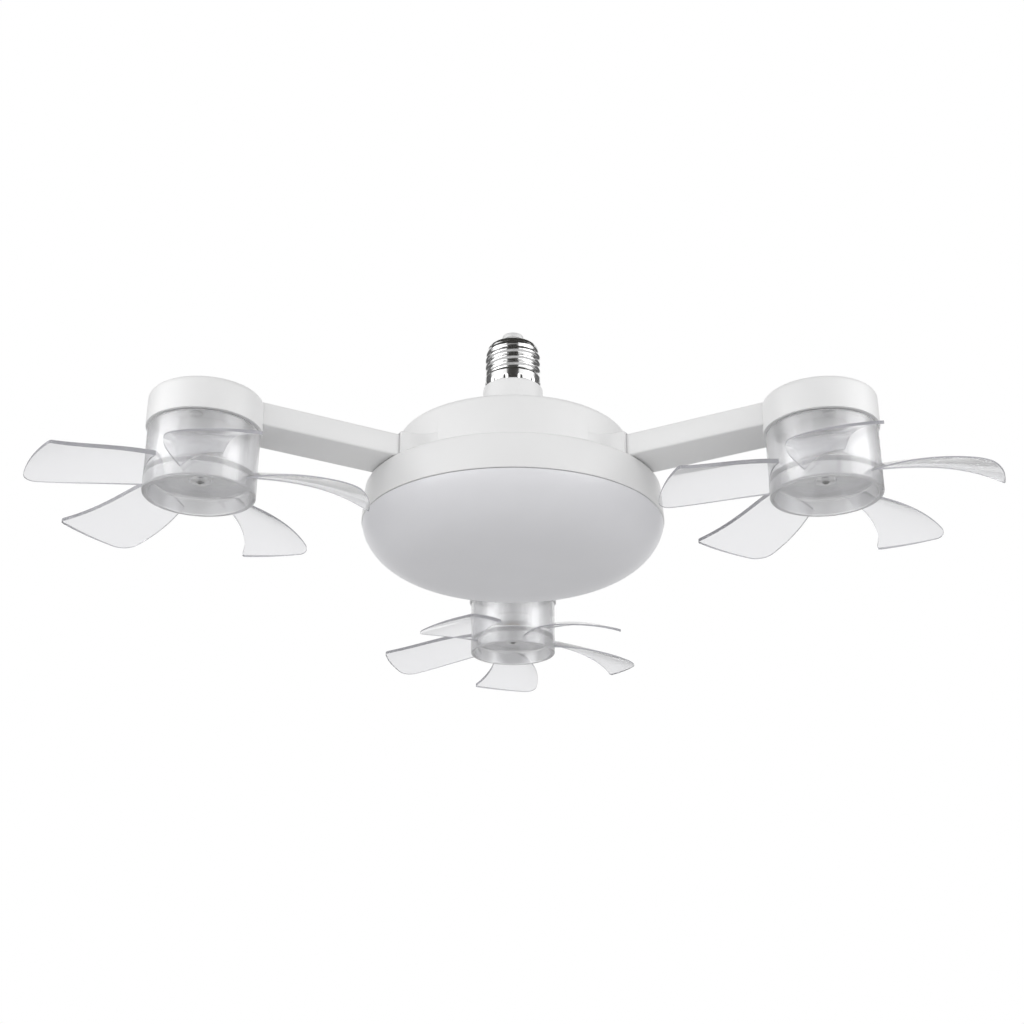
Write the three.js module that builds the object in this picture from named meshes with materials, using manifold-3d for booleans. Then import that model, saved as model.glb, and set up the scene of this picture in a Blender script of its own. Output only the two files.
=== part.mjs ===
// A lamp that screws into a ceiling lampholder and carries three small fans.
// Millimetres, +Z up. The origin is the middle of the centre contact's flat top,
// the front of the lamp is towards -Y, and every height below the origin is negative.
// From top to bottom: screw cap, neck and drum, trim ring, opal diffuser.
// Three hollow arms leave the drum 120 degrees apart. Each ends in a motor housing,
// and a clear moulded impeller turns under it about its own upright shaft.

import * as THREE from "three";
import { mergeVertices } from "three/addons/utils/BufferGeometryUtils.js";
import Module from "manifold-3d";

const wasm = await Module();
wasm.setup();

const degrees = Math.PI / 180;
const fullTurn = 2 * Math.PI;

// Gap between pieces that seat on each other, and how far a cutter runs past a face.
const clearance = 0.3;
const overrun = 1;

// Facets round a circle.
const roundSteps = { large: 32, cup: 24, thread: 24, medium: 16, small: 8, screw: 6, wire: 3 };

// Screw cap: thread crests, pitch, and the rolled shell round its insulator.
const cap = {
  crestRadius: 13.2,
  threadDepth: 0.9,
  pitch: 3.62,
  crestDrop: 13.52,
  threadTopDrop: 2.6,
  threadBottomDrop: 16.6,
  skirtDrop: 17.6,
  skirtStep: 0.1,
  shellLength: 22.7,
  shellWall: 0.8,
  lipGap: 1.6,
  lipThickness: 0.9,
  shoulderRadius: 2.6,
  insulatorRadius: 5.6,
  noseHeight: 3.1,
  insulatorFlange: 2.2,
  insulatorEdge: 0.4,
  contactFlatRadius: 4.6,
  contactHeight: 2.6,
};
const threadRowsPerTurn = 4;
const threadFootShare = 0.3;

// Upper housing: the neck under the cap and the drum that holds the driver.
const drum = {
  neckStep: 1,
  neckFlare: 1,
  neckFillet: 2.5,
  neckWall: 2.7,
  neckLength: 28.2,
  spigotLength: 18,
  radius: 53.9,
  height: 25.1,
  topFillet: 3,
  wall: 2.2,
  roof: 1,
};
// Screw bosses moulded under the drum's roof, and how far they stand in from its side.
const boss = { radius: 4, shoulderRadius: 5.5, screwInset: 11.9, armScrewInset: 9.9 };
// Sockets that stand out from the drum and take the inner ends of the arms.
const rootSocket = { reach: 10.4, wall: 1.5, roof: 1.5 };

// Trim ring: the wide flange that closes the drum and frames the diffuser.
const trim = {
  bottomRadius: 69.45,
  taper: 1.15,
  height: 17.05,
  wall: 2.2,
  edgeRadius: 1.6,
  openingInset: 8,
  standoffRadius: 4,
  standoffHeight: 1.9,
};

// Opal diffuser: a deep rounded bowl, its outline a superellipse.
const bowl = { inset: 0.45, depth: 22.7, wall: 1.8, collarStep: 2.4, collarHeight: 5.5 };
const bowlSideShare = 2 / 4.5;
const bowlFloorShare = 2 / 1.6;
const bowlSteps = 6;

// Light engine: aluminium dish, board with its rings of chips, and their screws.
const dish = { gap: 6.1, thickness: 1.5, rim: 4 };
const board = { gap: 2.5, thickness: 1.6, chipLength: 3.5, chipWidth: 2.8, chipHeight: 0.8 };
const chipRingShares = [0.25, 0.54, 0.91];
const chipCounts = [4, 6, 10];
const boardScrewShare = 0.7;

// Driver board in the drum, with the parts soldered to its underside.
const driver = { inset: 16.2, thickness: 1.6, drop: 8.8 };
const transformer = { length: 20, width: 17, height: 11.5, coreLip: 2.4, coreHeight: 6.5, x: -12, y: -3 };
const capacitor = { radius: 5, height: 12.5, grooveDepth: 0.5, grooveDrop: 2, x: 11, y: 12 };
const terminals = { length: 15, width: 8, height: 9, holeRadius: 1.4, x: 12, y: -11 };
const terminalHoleCount = 3;

// Pan-head screws, all of one size but for their length.
const screw = { radius: 1.45, headRadius: 2.8, headHeight: 1.6 };
const screwLength = { housing: 12, board: 7.3, arm: 9.5, motor: 9 };

// Arms: rectangular tubes from the drum to the motor housings.
const arm = { bladeGap: 9.05, width: 23.2, height: 10.5, wall: 1.8, insertion: 14.4 };
const armAngles = { left: 210, right: 330, back: 90 };
const halfArmAngle = 60;

// Motor housing: round white cap with a window in its side for the arm.
const motorCap = {
  radius: 24,
  height: 14.9,
  wall: 2,
  topFillet: 3,
  windowRoof: 0.5,
  armEntry: 4.4,
  bossRadius: 3,
  bossInset: 7.8,
};
const motorScrewAngles = [60, 180, 300];
const plate = { thickness: 1.8, holeLip: 2, lipHeight: 1.2 };
const motor = {
  radius: 10.3,
  topGap: 3.2,
  webGap: 6,
  edge: 1,
  shaftRadius: 1,
  shaftDepth: 7.4,
  bearingRadius: 4,
  bearingHeight: 3.2,
  bearingProud: 1.4,
};

// Impeller: clear cup with a recessed web, and swept, twisted blades.
const cup = {
  inset: 0.9,
  wall: 2.2,
  depth: 28.6,
  runningGap: 0.6,
  webThickness: 2,
  webRecess: 7,
  rimEdge: 0.6,
  bossRadius: 4.6,
  bossHeight: 1,
  bossEdge: 0.5,
  stemRadius: 3.8,
  stemHeight: 4,
  screwGap: 0.25,
};
const blade = {
  thickness: 2,
  tipRadius: 70,
  trailingTipLoss: 1.1,
  rootInset: 1.5,
  trailingRootHeight: 3.6,
  leadingRootHeight: 11.2,
  trailingDroop: 1.5,
  trailingCurl: 5.7,
  leadingDroop: 3.8,
  leadingCurl: 7.2,
  camber: 1.5,
  trailingCorner: 5.5,
  leadingCorner: 2.2,
};
const bladeCount = 5;
const bladeRows = 4;
// Edge angles in degrees at the root, then their change along the blade and its square.
const trailingAngles = [-2.6, 2.8, 8.2];
const leadingAngles = [38.6, -23.9, 22.4];
const camberTipShare = 0.1;
const trailingCornerShare = 0.17;
const leadingCornerShare = 0.07;
const bladeChordShares = [0, 0.06, 0.17, 0.5, 0.93, 1];
// Where each impeller stands, as the world angle of its first blade's trailing root.
const impellerAngles = { left: 192.2, right: 167.5, back: 215.7 };
const hubScrew = { headRadius: 1.2, headHeight: 1, radius: 0.7, length: 0.9 };
const hubSocket = { radius: 0.6, depth: 0.5 };

// Leads: one in the neck, one down each arm.
const lead = { radius: 1.1, offset: 6, inset: 7.7, bend: 5 };
const leadSteps = 10;

// Radii that follow from the sizes above.
const crestRoot = cap.crestRadius - cap.threadDepth;
const skirtRadius = cap.crestRadius + cap.skirtStep;
const shellBore = crestRoot - cap.shellWall;
const lipRadius = cap.insulatorRadius + cap.lipGap;
const contactRadius = cap.insulatorRadius - cap.insulatorEdge;
const spigotRadius = shellBore - clearance;
const neckBore = spigotRadius - drum.neckWall;
const neckTopRadius = cap.crestRadius + drum.neckStep;
const neckFootRadius = neckTopRadius + drum.neckFlare;
const screwCircle = drum.radius - boss.screwInset;
const armScrewCircle = drum.radius - boss.armScrewInset;
const driverRadius = drum.radius - driver.inset;
const trimTopRadius = trim.bottomRadius - trim.taper;
const bowlRadius = trim.bottomRadius - bowl.inset;
const collarRadius = bowlRadius - bowl.collarStep;
const dishRadius = trimTopRadius - trim.wall - dish.gap;
const boardRadius = dishRadius - dish.thickness - board.gap;
const boardScrewCircle = dishRadius * boardScrewShare;
const trimOpening = boardScrewCircle - trim.openingInset;
const armReach = trim.bottomRadius + arm.bladeGap + blade.tipRadius;
const armInnerEnd = drum.radius - arm.insertion;
const armOuterGap = motorCap.radius - motorCap.armEntry;
const armEnd = armReach - armOuterGap;
const rootSocketReach = drum.radius + rootSocket.reach;
const motorBossCircle = motorCap.radius - motorCap.bossInset;
const cupRadius = motorCap.radius - cup.inset;
const cupInnerRadius = cupRadius - cup.wall;
const screwBore = screw.radius + clearance;
const shaftBore = motor.shaftRadius + clearance;
const counterbore = hubScrew.headRadius + cup.screwGap;

// Heights that follow from the sizes above, from the contact down.
const insulatorTopZ = -cap.contactHeight - clearance;
const shellTopZ = insulatorTopZ - cap.noseHeight;
const shellBottomZ = shellTopZ - cap.shellLength;
const threadTopZ = shellTopZ - cap.threadTopDrop;
const threadBottomZ = shellTopZ - cap.threadBottomDrop;
const skirtTopZ = shellTopZ - cap.skirtDrop;
const crestZ = shellTopZ - cap.crestDrop;
const neckTopZ = shellBottomZ - clearance;
const flangeTopZ = shellTopZ - cap.lipThickness - clearance;
const flangeBottomZ = flangeTopZ - cap.insulatorFlange;
const spigotTopZ = Math.min(neckTopZ + drum.spigotLength, flangeBottomZ - clearance);
const drumTopZ = neckTopZ - drum.neckLength;
const drumBottomZ = drumTopZ - drum.height;
const roofZ = drumTopZ - drum.roof;
const trimTopZ = drumBottomZ - clearance;
const trimPlateZ = trimTopZ - trim.wall;
const trimBottomZ = trimTopZ - trim.height;
const dishTopZ = trimPlateZ - trim.standoffHeight - clearance;
const boardTopZ = dishTopZ - dish.thickness - clearance;
const boardBottomZ = boardTopZ - board.thickness;
const driverTopZ = drumTopZ - driver.drop;
const driverBottomZ = driverTopZ - driver.thickness;
const armBottomZ = drumBottomZ;
const armTopZ = armBottomZ + arm.height;
const motorTopZ = armTopZ + clearance + motorCap.windowRoof;
const motorBottomZ = motorTopZ - motorCap.height;
const motorRoofZ = motorTopZ - motorCap.wall;
const plateTopZ = motorBottomZ + plate.thickness;
const cupTopZ = motorBottomZ - cup.runningGap;
const cupBottomZ = cupTopZ - cup.depth;
const webBottomZ = cupBottomZ + cup.webRecess;
const webTopZ = webBottomZ + cup.webThickness;
const stemTopZ = webTopZ + cup.stemHeight;
const canBottomZ = webTopZ + motor.webGap;
const shaftTopZ = canBottomZ + motor.shaftDepth;
const bearingBottomZ = canBottomZ - motor.bearingProud;
const bearingTopZ = bearingBottomZ + motor.bearingHeight;
const hubBossBottomZ = webBottomZ - cup.bossHeight;
const hubScrewSeatZ = hubBossBottomZ + hubScrew.headHeight;
const shaftBottomZ = hubScrewSeatZ + hubScrew.length + clearance;
const leadZ = armBottomZ + arm.wall + clearance + lead.radius;

// A closed geometry as a solid, turned the right way out.
function solidOf(geometry) {
  const bare = new THREE.BufferGeometry();
  bare.setAttribute("position", geometry.getAttribute("position"));
  bare.setIndex(geometry.getIndex());
  const merged = mergeVertices(bare);
  const corners = Array.from(merged.index.array);
  const kept = [];
  for (let i = 0; i < corners.length; i += 3) {
    const [a, b, c] = corners.slice(i, i + 3);
    if (a !== b && b !== c && c !== a) kept.push(a, b, c);
  }
  const build = (triangles) =>
    new wasm.Manifold(
      new wasm.Mesh({
        numProp: 3,
        vertProperties: merged.attributes.position.array,
        triVerts: new Uint32Array(triangles),
      }),
    );
  const made = build(kept);
  return made.volume() < 0 ? build(kept.reverse()) : made;
}

function geometryOf(solid) {
  const { vertProperties, triVerts } = solid.getMesh();
  const geometry = new THREE.BufferGeometry();
  geometry.setAttribute("position", new THREE.BufferAttribute(vertProperties, 3));
  geometry.setIndex(new THREE.BufferAttribute(triVerts, 1));
  geometry.computeVertexNormals();
  return geometry;
}

const join = (first, ...others) =>
  geometryOf(others.reduce((all, next) => all.add(solidOf(next)), solidOf(first)));
const cut = (first, ...tools) =>
  geometryOf(tools.reduce((all, next) => all.subtract(solidOf(next)), solidOf(first)));

// A profile of [radius, height] pairs turned about the Z axis.
function turned(profile, steps) {
  const points = profile.map(([radius, height]) => new THREE.Vector2(radius, height));
  return geometryOf(solidOf(new THREE.LatheGeometry(points, steps).rotateX(90 * degrees)));
}

const rod = (radius, lowZ, highZ, steps = roundSteps.medium) =>
  turned([[0, lowZ], [radius, lowZ], [radius, highZ], [0, highZ]], steps);

const tube = (outer, inner, lowZ, highZ, steps = roundSteps.medium) =>
  turned([[inner, lowZ], [outer, lowZ], [outer, highZ], [inner, highZ], [inner, lowZ]], steps);

// A block between two corners.
function block([x0, y0, z0], [x1, y1, z1]) {
  const geometry = new THREE.BoxGeometry(x1 - x0, y1 - y0, z1 - z0);
  return geometry.translate((x0 + x1) / 2, (y0 + y1) / 2, (z0 + z1) / 2);
}

// The same geometry moved out to a radius and turned round the Z axis.
const around = (geometry, radius, angle) =>
  geometry.clone().translate(radius, 0, 0).rotateZ(angle * degrees);

// Points on a quarter round from one direction to another, about a centre.
function arc(centreRadius, centreZ, radius, fromAngle, toAngle, steps = 3) {
  const points = [];
  for (let i = 0; i <= steps; i++) {
    const angle = (fromAngle + ((toAngle - fromAngle) * i) / steps) * degrees;
    points.push([centreRadius + radius * Math.cos(angle), centreZ + radius * Math.sin(angle)]);
  }
  return points;
}

// A wire along a smooth curve.
function wire(points, radius, steps) {
  const curve = new THREE.CatmullRomCurve3(points.map((point) => new THREE.Vector3(...point)));
  const section = new THREE.Shape();
  section.absarc(0, 0, radius, 0, fullTurn);
  return geometryOf(
    solidOf(
      new THREE.ExtrudeGeometry(section, {
        steps,
        curveSegments: roundSteps.wire,
        bevelEnabled: false,
        extrudePath: curve,
      }),
    ),
  );
}

// Loops of equally many points joined into a skin, closed by flat-sided ends if capped.
function skin(loops, capped) {
  const size = loops[0].length;
  const positions = loops.flat(2);
  const corners = [];
  const rows = capped ? loops.length - 1 : loops.length;
  for (let i = 0; i < rows; i++) {
    const next = (i + 1) % loops.length;
    for (let k = 0; k < size; k++) {
      const [a, b] = [i * size + k, i * size + ((k + 1) % size)];
      const [c, d] = [next * size + ((k + 1) % size), next * size + k];
      corners.push(a, b, c, a, c, d);
    }
  }
  const half = size / 2;
  const last = (loops.length - 1) * size;
  for (let k = 0; capped && k < half - 1; k++) {
    const far = size - 1 - k;
    corners.push(k, far, far - 1, k, far - 1, k + 1);
    corners.push(last + k, last + far - 1, last + far, last + k, last + k + 1, last + far - 1);
  }
  const geometry = new THREE.BufferGeometry();
  geometry.setAttribute("position", new THREE.Float32BufferAttribute(positions, 3));
  geometry.setIndex(corners);
  return geometryOf(solidOf(geometry));
}

// Rolled metal shell with a right-hand thread on the outside and a straight bore.
function screwShell() {
  const rows = Math.round(((threadTopZ - threadBottomZ) / cap.pitch) * threadRowsPerTurn);
  const loops = [];
  for (let i = 0; i < roundSteps.thread; i++) {
    const turn = i / roundSteps.thread;
    const profile = [[shellBore, shellBottomZ], [skirtRadius, shellBottomZ], [skirtRadius, skirtTopZ]];
    for (let k = 0; k <= rows; k++) {
      const z = threadBottomZ + ((threadTopZ - threadBottomZ) * k) / rows;
      const wave = (1 + Math.cos(fullTurn * ((z - crestZ) / cap.pitch - turn))) / 2;
      const fade = Math.min(1, (rows - k) / threadRowsPerTurn, k / threadRowsPerTurn + threadFootShare);
      profile.push([crestRoot + cap.threadDepth * wave * fade, z]);
    }
    const shoulder = cap.shoulderRadius;
    profile.push(...arc(crestRoot - shoulder, shellTopZ - shoulder, shoulder, 0, 90, 2));
    profile.push([lipRadius, shellTopZ], [lipRadius, shellTopZ - cap.lipThickness]);
    profile.push([shellBore, shellTopZ - cap.lipThickness]);
    const angle = turn * fullTurn;
    loops.push(profile.map(([radius, z]) => [radius * Math.cos(angle), radius * Math.sin(angle), z]));
  }
  return skin(loops, false);
}

function capInsulator() {
  const nose = cap.insulatorRadius;
  const round = cap.insulatorEdge;
  return turned(
    [
      [0, flangeBottomZ],
      [spigotRadius, flangeBottomZ],
      [spigotRadius, flangeTopZ],
      [nose, flangeTopZ],
      ...arc(nose - round, insulatorTopZ - round, round, 0, 90, 2),
      [0, insulatorTopZ],
    ],
    roundSteps.medium,
  );
}

// Tinned contact: a low dome with a flat top.
function centreContact() {
  const profile = [[0, -cap.contactHeight], [contactRadius, -cap.contactHeight]];
  const crown = contactRadius - cap.contactFlatRadius;
  for (const [radius, height] of arc(0, 0, 1, 0, 90, 4))
    profile.push([cap.contactFlatRadius + crown * radius, cap.contactHeight * (height - 1)]);
  return turned([...profile, [0, 0]], roundSteps.medium);
}

// Neck and drum in one moulding, with its bosses and a notch for each arm.
function upperHousing() {
  const { radius, wall, roof, topFillet, neckFillet } = drum;
  const innerFillet = topFillet - wall;
  const shell = turned(
    [
      [neckBore, spigotTopZ],
      [spigotRadius, spigotTopZ],
      [spigotRadius, neckTopZ],
      [neckTopRadius, neckTopZ],
      ...arc(neckFootRadius + neckFillet, drumTopZ + neckFillet, neckFillet, 180, 270, 2),
      ...arc(radius - topFillet, drumTopZ - topFillet, topFillet, 90, 0),
      [radius, drumBottomZ],
      [radius - wall, drumBottomZ],
      ...arc(radius - wall - innerFillet, roofZ - innerFillet, innerFillet, 0, 90, 1),
      [neckBore, roofZ],
      [neckBore, spigotTopZ],
    ],
    roundSteps.large,
  );
  const half = arm.width / 2 + clearance;
  const outer = half + rootSocket.wall;
  const socket = block(
    [radius - wall, -outer, drumBottomZ],
    [rootSocketReach, outer, armTopZ + clearance + rootSocket.roof],
  );
  const notch = block(
    [armInnerEnd, -half, drumBottomZ - overrun],
    [rootSocketReach + overrun, half, armTopZ + clearance],
  );
  const bosses = [];
  const cutters = [];
  for (const angle of Object.values(armAngles)) {
    const plain = rod(boss.radius, drumBottomZ, roofZ + roof / 2, roundSteps.small);
    const shoulder = rod(boss.shoulderRadius, driverTopZ + clearance, roofZ + roof / 2, roundSteps.small);
    const stepped = join(plain, shoulder);
    const pilot = rod(screwBore, drumBottomZ - overrun, roofZ - clearance, roundSteps.screw);
    const seat = rod(boss.radius, armTopZ + clearance, roofZ + roof / 2, roundSteps.small);
    bosses.push(around(stepped, screwCircle, angle + halfArmAngle), around(seat, armScrewCircle, angle));
    cutters.push(around(pilot, screwCircle, angle + halfArmAngle), around(pilot, armScrewCircle, angle));
    bosses.push(around(socket, 0, angle));
    cutters.push(around(notch, 0, angle));
  }
  return cut(join(shell, ...bosses), ...cutters);
}

// Flange with a flat top plate, screw holes, and stand-offs for the aluminium dish.
function trimRing() {
  const { bottomRadius, wall, edgeRadius } = trim;
  const shell = turned(
    [
      [trimOpening, trimPlateZ],
      [trimOpening, trimTopZ],
      ...arc(trimTopRadius - edgeRadius, trimTopZ - edgeRadius, edgeRadius, 90, 0, 2),
      [bottomRadius, trimBottomZ],
      [bottomRadius - wall, trimBottomZ],
      [trimTopRadius - wall, trimPlateZ],
      [trimOpening, trimPlateZ],
    ],
    roundSteps.large,
  );
  const pads = [];
  const holes = [];
  for (const angle of Object.values(armAngles)) {
    const pad = rod(
      trim.standoffRadius,
      trimPlateZ - trim.standoffHeight,
      trimPlateZ + wall / 2,
      roundSteps.small,
    );
    const hole = rod(
      screwBore,
      trimPlateZ - trim.standoffHeight - overrun,
      trimTopZ + overrun,
      roundSteps.screw,
    );
    pads.push(around(pad, boardScrewCircle, angle));
    holes.push(around(hole, boardScrewCircle, angle), around(hole, screwCircle, angle + halfArmAngle));
  }
  return cut(join(shell, ...pads), ...holes);
}

// Half outline of the bowl, from the rim to the middle of its floor.
function bowlCurve(radius, depth, rimZ) {
  const points = [];
  for (let i = 0; i <= bowlSteps; i++) {
    const angle = (90 * degrees * i) / bowlSteps;
    points.push([
      radius * Math.max(0, Math.cos(angle)) ** bowlSideShare,
      rimZ - depth * Math.sin(angle) ** bowlFloorShare,
    ]);
  }
  points[bowlSteps][0] = 0;
  return points;
}

function diffuser() {
  const rimZ = trimBottomZ - clearance;
  const { depth, wall, collarHeight } = bowl;
  const inside = bowlCurve(collarRadius - wall, depth - wall, rimZ);
  return turned(
    [
      ...inside.reverse(),
      [collarRadius - wall, rimZ + collarHeight],
      [collarRadius, rimZ + collarHeight],
      [collarRadius, rimZ],
      ...bowlCurve(bowlRadius, depth, rimZ),
    ],
    roundSteps.large,
  );
}

// Holes for the board screws, through whatever lies between two heights.
function boardScrewHoles(lowZ, highZ) {
  const hole = rod(screwBore, lowZ - overrun, highZ + overrun, roundSteps.screw);
  return Object.values(armAngles).map((angle) => around(hole, boardScrewCircle, angle));
}

function heatDish() {
  const bottomZ = dishTopZ - dish.thickness;
  const inner = dishRadius - dish.thickness;
  const pan = turned(
    [
      [0, dishTopZ],
      [dishRadius, dishTopZ],
      [dishRadius, dishTopZ - dish.rim],
      [inner, dishTopZ - dish.rim],
      [inner, bottomZ],
      [0, bottomZ],
    ],
    roundSteps.large,
  );
  return cut(pan, ...boardScrewHoles(bottomZ, dishTopZ));
}

function ledBoard() {
  const disc = rod(boardRadius, boardBottomZ, boardTopZ, roundSteps.large);
  const chips = [];
  const chip = block(
    [-board.chipWidth / 2, -board.chipLength / 2, boardBottomZ - board.chipHeight],
    [board.chipWidth / 2, board.chipLength / 2, boardBottomZ + board.thickness / 2],
  );
  chipCounts.forEach((count, ring) => {
    const radius = boardRadius * chipRingShares[ring];
    for (let i = 0; i < count; i++) chips.push(around(chip, radius, (360 * (i + 1 / 2)) / count));
  });
  return cut(join(disc, ...chips), ...boardScrewHoles(boardBottomZ, boardTopZ));
}

const driverBoard = () => rod(driverRadius, driverBottomZ, driverTopZ, roundSteps.cup);

// Wound bobbin with the laminated core standing out round its middle.
function transformerBody() {
  const { length, width, height, coreLip, coreHeight } = transformer;
  const top = driverBottomZ - clearance;
  const middle = top - height / 2;
  const bobbin = block(
    [-length / 2, coreLip - width / 2, top - height],
    [length / 2, width / 2 - coreLip, top],
  );
  const core = block(
    [coreLip - length / 2, -width / 2, middle - coreHeight / 2],
    [length / 2 - coreLip, width / 2, middle + coreHeight / 2],
  );
  return join(bobbin, core).translate(transformer.x, transformer.y, 0);
}

// Electrolytic can with the rolled groove near its foot.
function capacitorCan() {
  const top = driverBottomZ - clearance;
  const { radius, height, grooveDepth, grooveDrop } = capacitor;
  const can = turned(
    [
      [0, top],
      [radius, top],
      [radius, top - grooveDrop + grooveDepth],
      [radius - grooveDepth, top - grooveDrop],
      [radius, top - grooveDrop - grooveDepth],
      [radius, top - height + grooveDepth],
      [radius - grooveDepth, top - height],
      [0, top - height],
    ],
    roundSteps.medium,
  );
  return can.translate(capacitor.x, capacitor.y, 0);
}

function terminalBlock() {
  const { length, width, height, holeRadius } = terminals;
  const top = driverBottomZ - clearance;
  const body = block([-length / 2, -width / 2, top - height], [length / 2, width / 2, top]);
  const entries = [];
  for (let i = 0; i < terminalHoleCount; i++) {
    const entry = rod(holeRadius, top - height - overrun, top - height / 2, roundSteps.screw);
    entries.push(entry.translate((length * (i + 1 / 2)) / terminalHoleCount - length / 2, 0, 0));
  }
  return cut(body, ...entries).translate(terminals.x, terminals.y, 0);
}

// A pan-head screw whose head rests under a seat; the shank points up.
function panScrew(seatZ, length) {
  const { radius, headRadius, headHeight } = screw;
  const base = seatZ - clearance;
  const foot = base - headHeight;
  return turned(
    [
      [0, foot],
      [headRadius, foot],
      [headRadius, base],
      [radius, base],
      [radius, base + length],
      [0, base + length],
    ],
    roundSteps.screw,
  );
}

const housingScrew = () => panScrew(trimPlateZ, screwLength.housing);
const boardFixing = () => panScrew(boardBottomZ, screwLength.board);
const armScrew = () => panScrew(armTopZ - arm.wall, screwLength.arm);
const motorScrew = () => panScrew(motorBottomZ, screwLength.motor);

// The arm lies along +X. Its inner end sits in the drum's notch under a boss.
function armTube() {
  const half = arm.width / 2;
  const { wall } = arm;
  const outside = block([armInnerEnd, -half, armBottomZ], [armEnd, half, armTopZ]);
  const hollow = block(
    [armInnerEnd - overrun, wall - half, armBottomZ + wall],
    [armEnd + overrun, half - wall, armTopZ - wall],
  );
  const screwHole = rod(screwBore, armTopZ - wall - overrun, armTopZ + overrun, roundSteps.screw);
  const access = rod(
    screw.headRadius + clearance,
    armBottomZ - overrun,
    armBottomZ + wall + overrun,
    roundSteps.small,
  );
  return cut(outside, hollow, around(screwHole, armScrewCircle, 0), around(access, armScrewCircle, 0));
}

// Motor housing, its axis at the origin of its own frame and the arm arriving from -X.
function motorHousing() {
  const { radius, wall, topFillet, bossRadius } = motorCap;
  const cover = turned(
    [
      [0, motorTopZ],
      ...arc(radius - topFillet, motorTopZ - topFillet, topFillet, 90, 0, 2),
      [radius, motorBottomZ],
      [0, motorBottomZ],
    ],
    roundSteps.cup,
  );
  const half = arm.width / 2 + clearance;
  const inside = rod(radius - wall, motorBottomZ - overrun, motorRoofZ, roundSteps.cup);
  const window = block(
    [-radius - overrun, -half, armBottomZ - clearance],
    [clearance - armOuterGap, half, armTopZ + clearance],
  );
  const post = rod(bossRadius, plateTopZ + clearance, motorRoofZ + wall / 2, roundSteps.small);
  const bosses = motorScrewAngles.map((angle) => around(post, motorBossCircle, angle));
  const pilot = rod(screwBore, motorBottomZ, motorRoofZ - clearance, roundSteps.screw);
  const holes = motorScrewAngles.map((angle) => around(pilot, motorBossCircle, angle));
  return cut(join(cut(cover, inside, window), ...bosses), ...holes);
}

// Bottom plate of the motor housing, with a raised lip round the motor.
function motorPlate() {
  const bore = motor.radius + clearance;
  const outer = motorCap.radius - motorCap.wall - clearance;
  const disc = turned(
    [
      [bore, motorBottomZ],
      [outer, motorBottomZ],
      [outer, plateTopZ],
      [bore + plate.holeLip, plateTopZ],
      [bore + plate.holeLip, plateTopZ + plate.lipHeight],
      [bore, plateTopZ + plate.lipHeight],
      [bore, motorBottomZ],
    ],
    roundSteps.medium,
  );
  const hole = rod(screwBore, motorBottomZ - overrun, plateTopZ + overrun, roundSteps.screw);
  const holes = motorScrewAngles.map((angle) => around(hole, motorBossCircle, angle));
  return cut(disc, ...holes);
}

function motorCan() {
  const { radius, edge, bearingRadius } = motor;
  const topZ = motorRoofZ - motor.topGap;
  const seatTopZ = bearingTopZ + clearance;
  return turned(
    [
      [0, topZ],
      [radius - edge, topZ],
      [radius, topZ - edge],
      [radius, canBottomZ + edge],
      [radius - edge, canBottomZ],
      [bearingRadius + clearance, canBottomZ],
      [bearingRadius + clearance, seatTopZ],
      [shaftBore, seatTopZ],
      [shaftBore, shaftTopZ + clearance],
      [0, shaftTopZ + clearance],
    ],
    roundSteps.medium,
  );
}

const motorBearing = () =>
  tube(motor.bearingRadius, shaftBore, bearingBottomZ, bearingTopZ, roundSteps.small);

// The shaft ends inside the hub, above its screw.
const motorShaft = () => rod(motor.shaftRadius, shaftBottomZ, shaftTopZ, roundSteps.small);

// Socket-head screw in the end of the hub, under the shaft.
function hubScrewBody() {
  const top = hubScrewSeatZ - clearance;
  const foot = top - hubScrew.headHeight;
  return turned(
    [
      [0, foot + hubSocket.depth],
      [hubSocket.radius, foot + hubSocket.depth],
      [hubSocket.radius, foot],
      [hubScrew.headRadius, foot],
      [hubScrew.headRadius, top],
      [hubScrew.radius, top],
      [hubScrew.radius, top + hubScrew.length],
      [0, top + hubScrew.length],
    ],
    roundSteps.small,
  );
}

// Cup wall, web, stem and boss in one profile.
function impellerCup() {
  return turned(
    [
      [shaftBore, stemTopZ],
      [cup.stemRadius, stemTopZ],
      [cup.stemRadius, webTopZ],
      [cupInnerRadius, webTopZ],
      [cupInnerRadius, cupTopZ],
      [cupRadius, cupTopZ],
      [cupRadius, cupBottomZ + cup.rimEdge],
      [cupRadius - cup.rimEdge, cupBottomZ],
      [cupInnerRadius, cupBottomZ],
      [cupInnerRadius, webBottomZ],
      [cup.bossRadius, webBottomZ],
      [cup.bossRadius - cup.bossEdge, hubBossBottomZ],
      [counterbore, hubBossBottomZ],
      [counterbore, hubScrewSeatZ],
      [shaftBore, hubScrewSeatZ],
      [shaftBore, stemTopZ],
    ],
    roundSteps.cup,
  );
}

// Height lost at a rounded tip corner, at a share of the chord from that corner.
const cornerLoss = (share, cornerShare, size) =>
  share < cornerShare ? size * (1 - Math.sqrt(1 - (1 - share / cornerShare) ** 2)) : 0;

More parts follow.
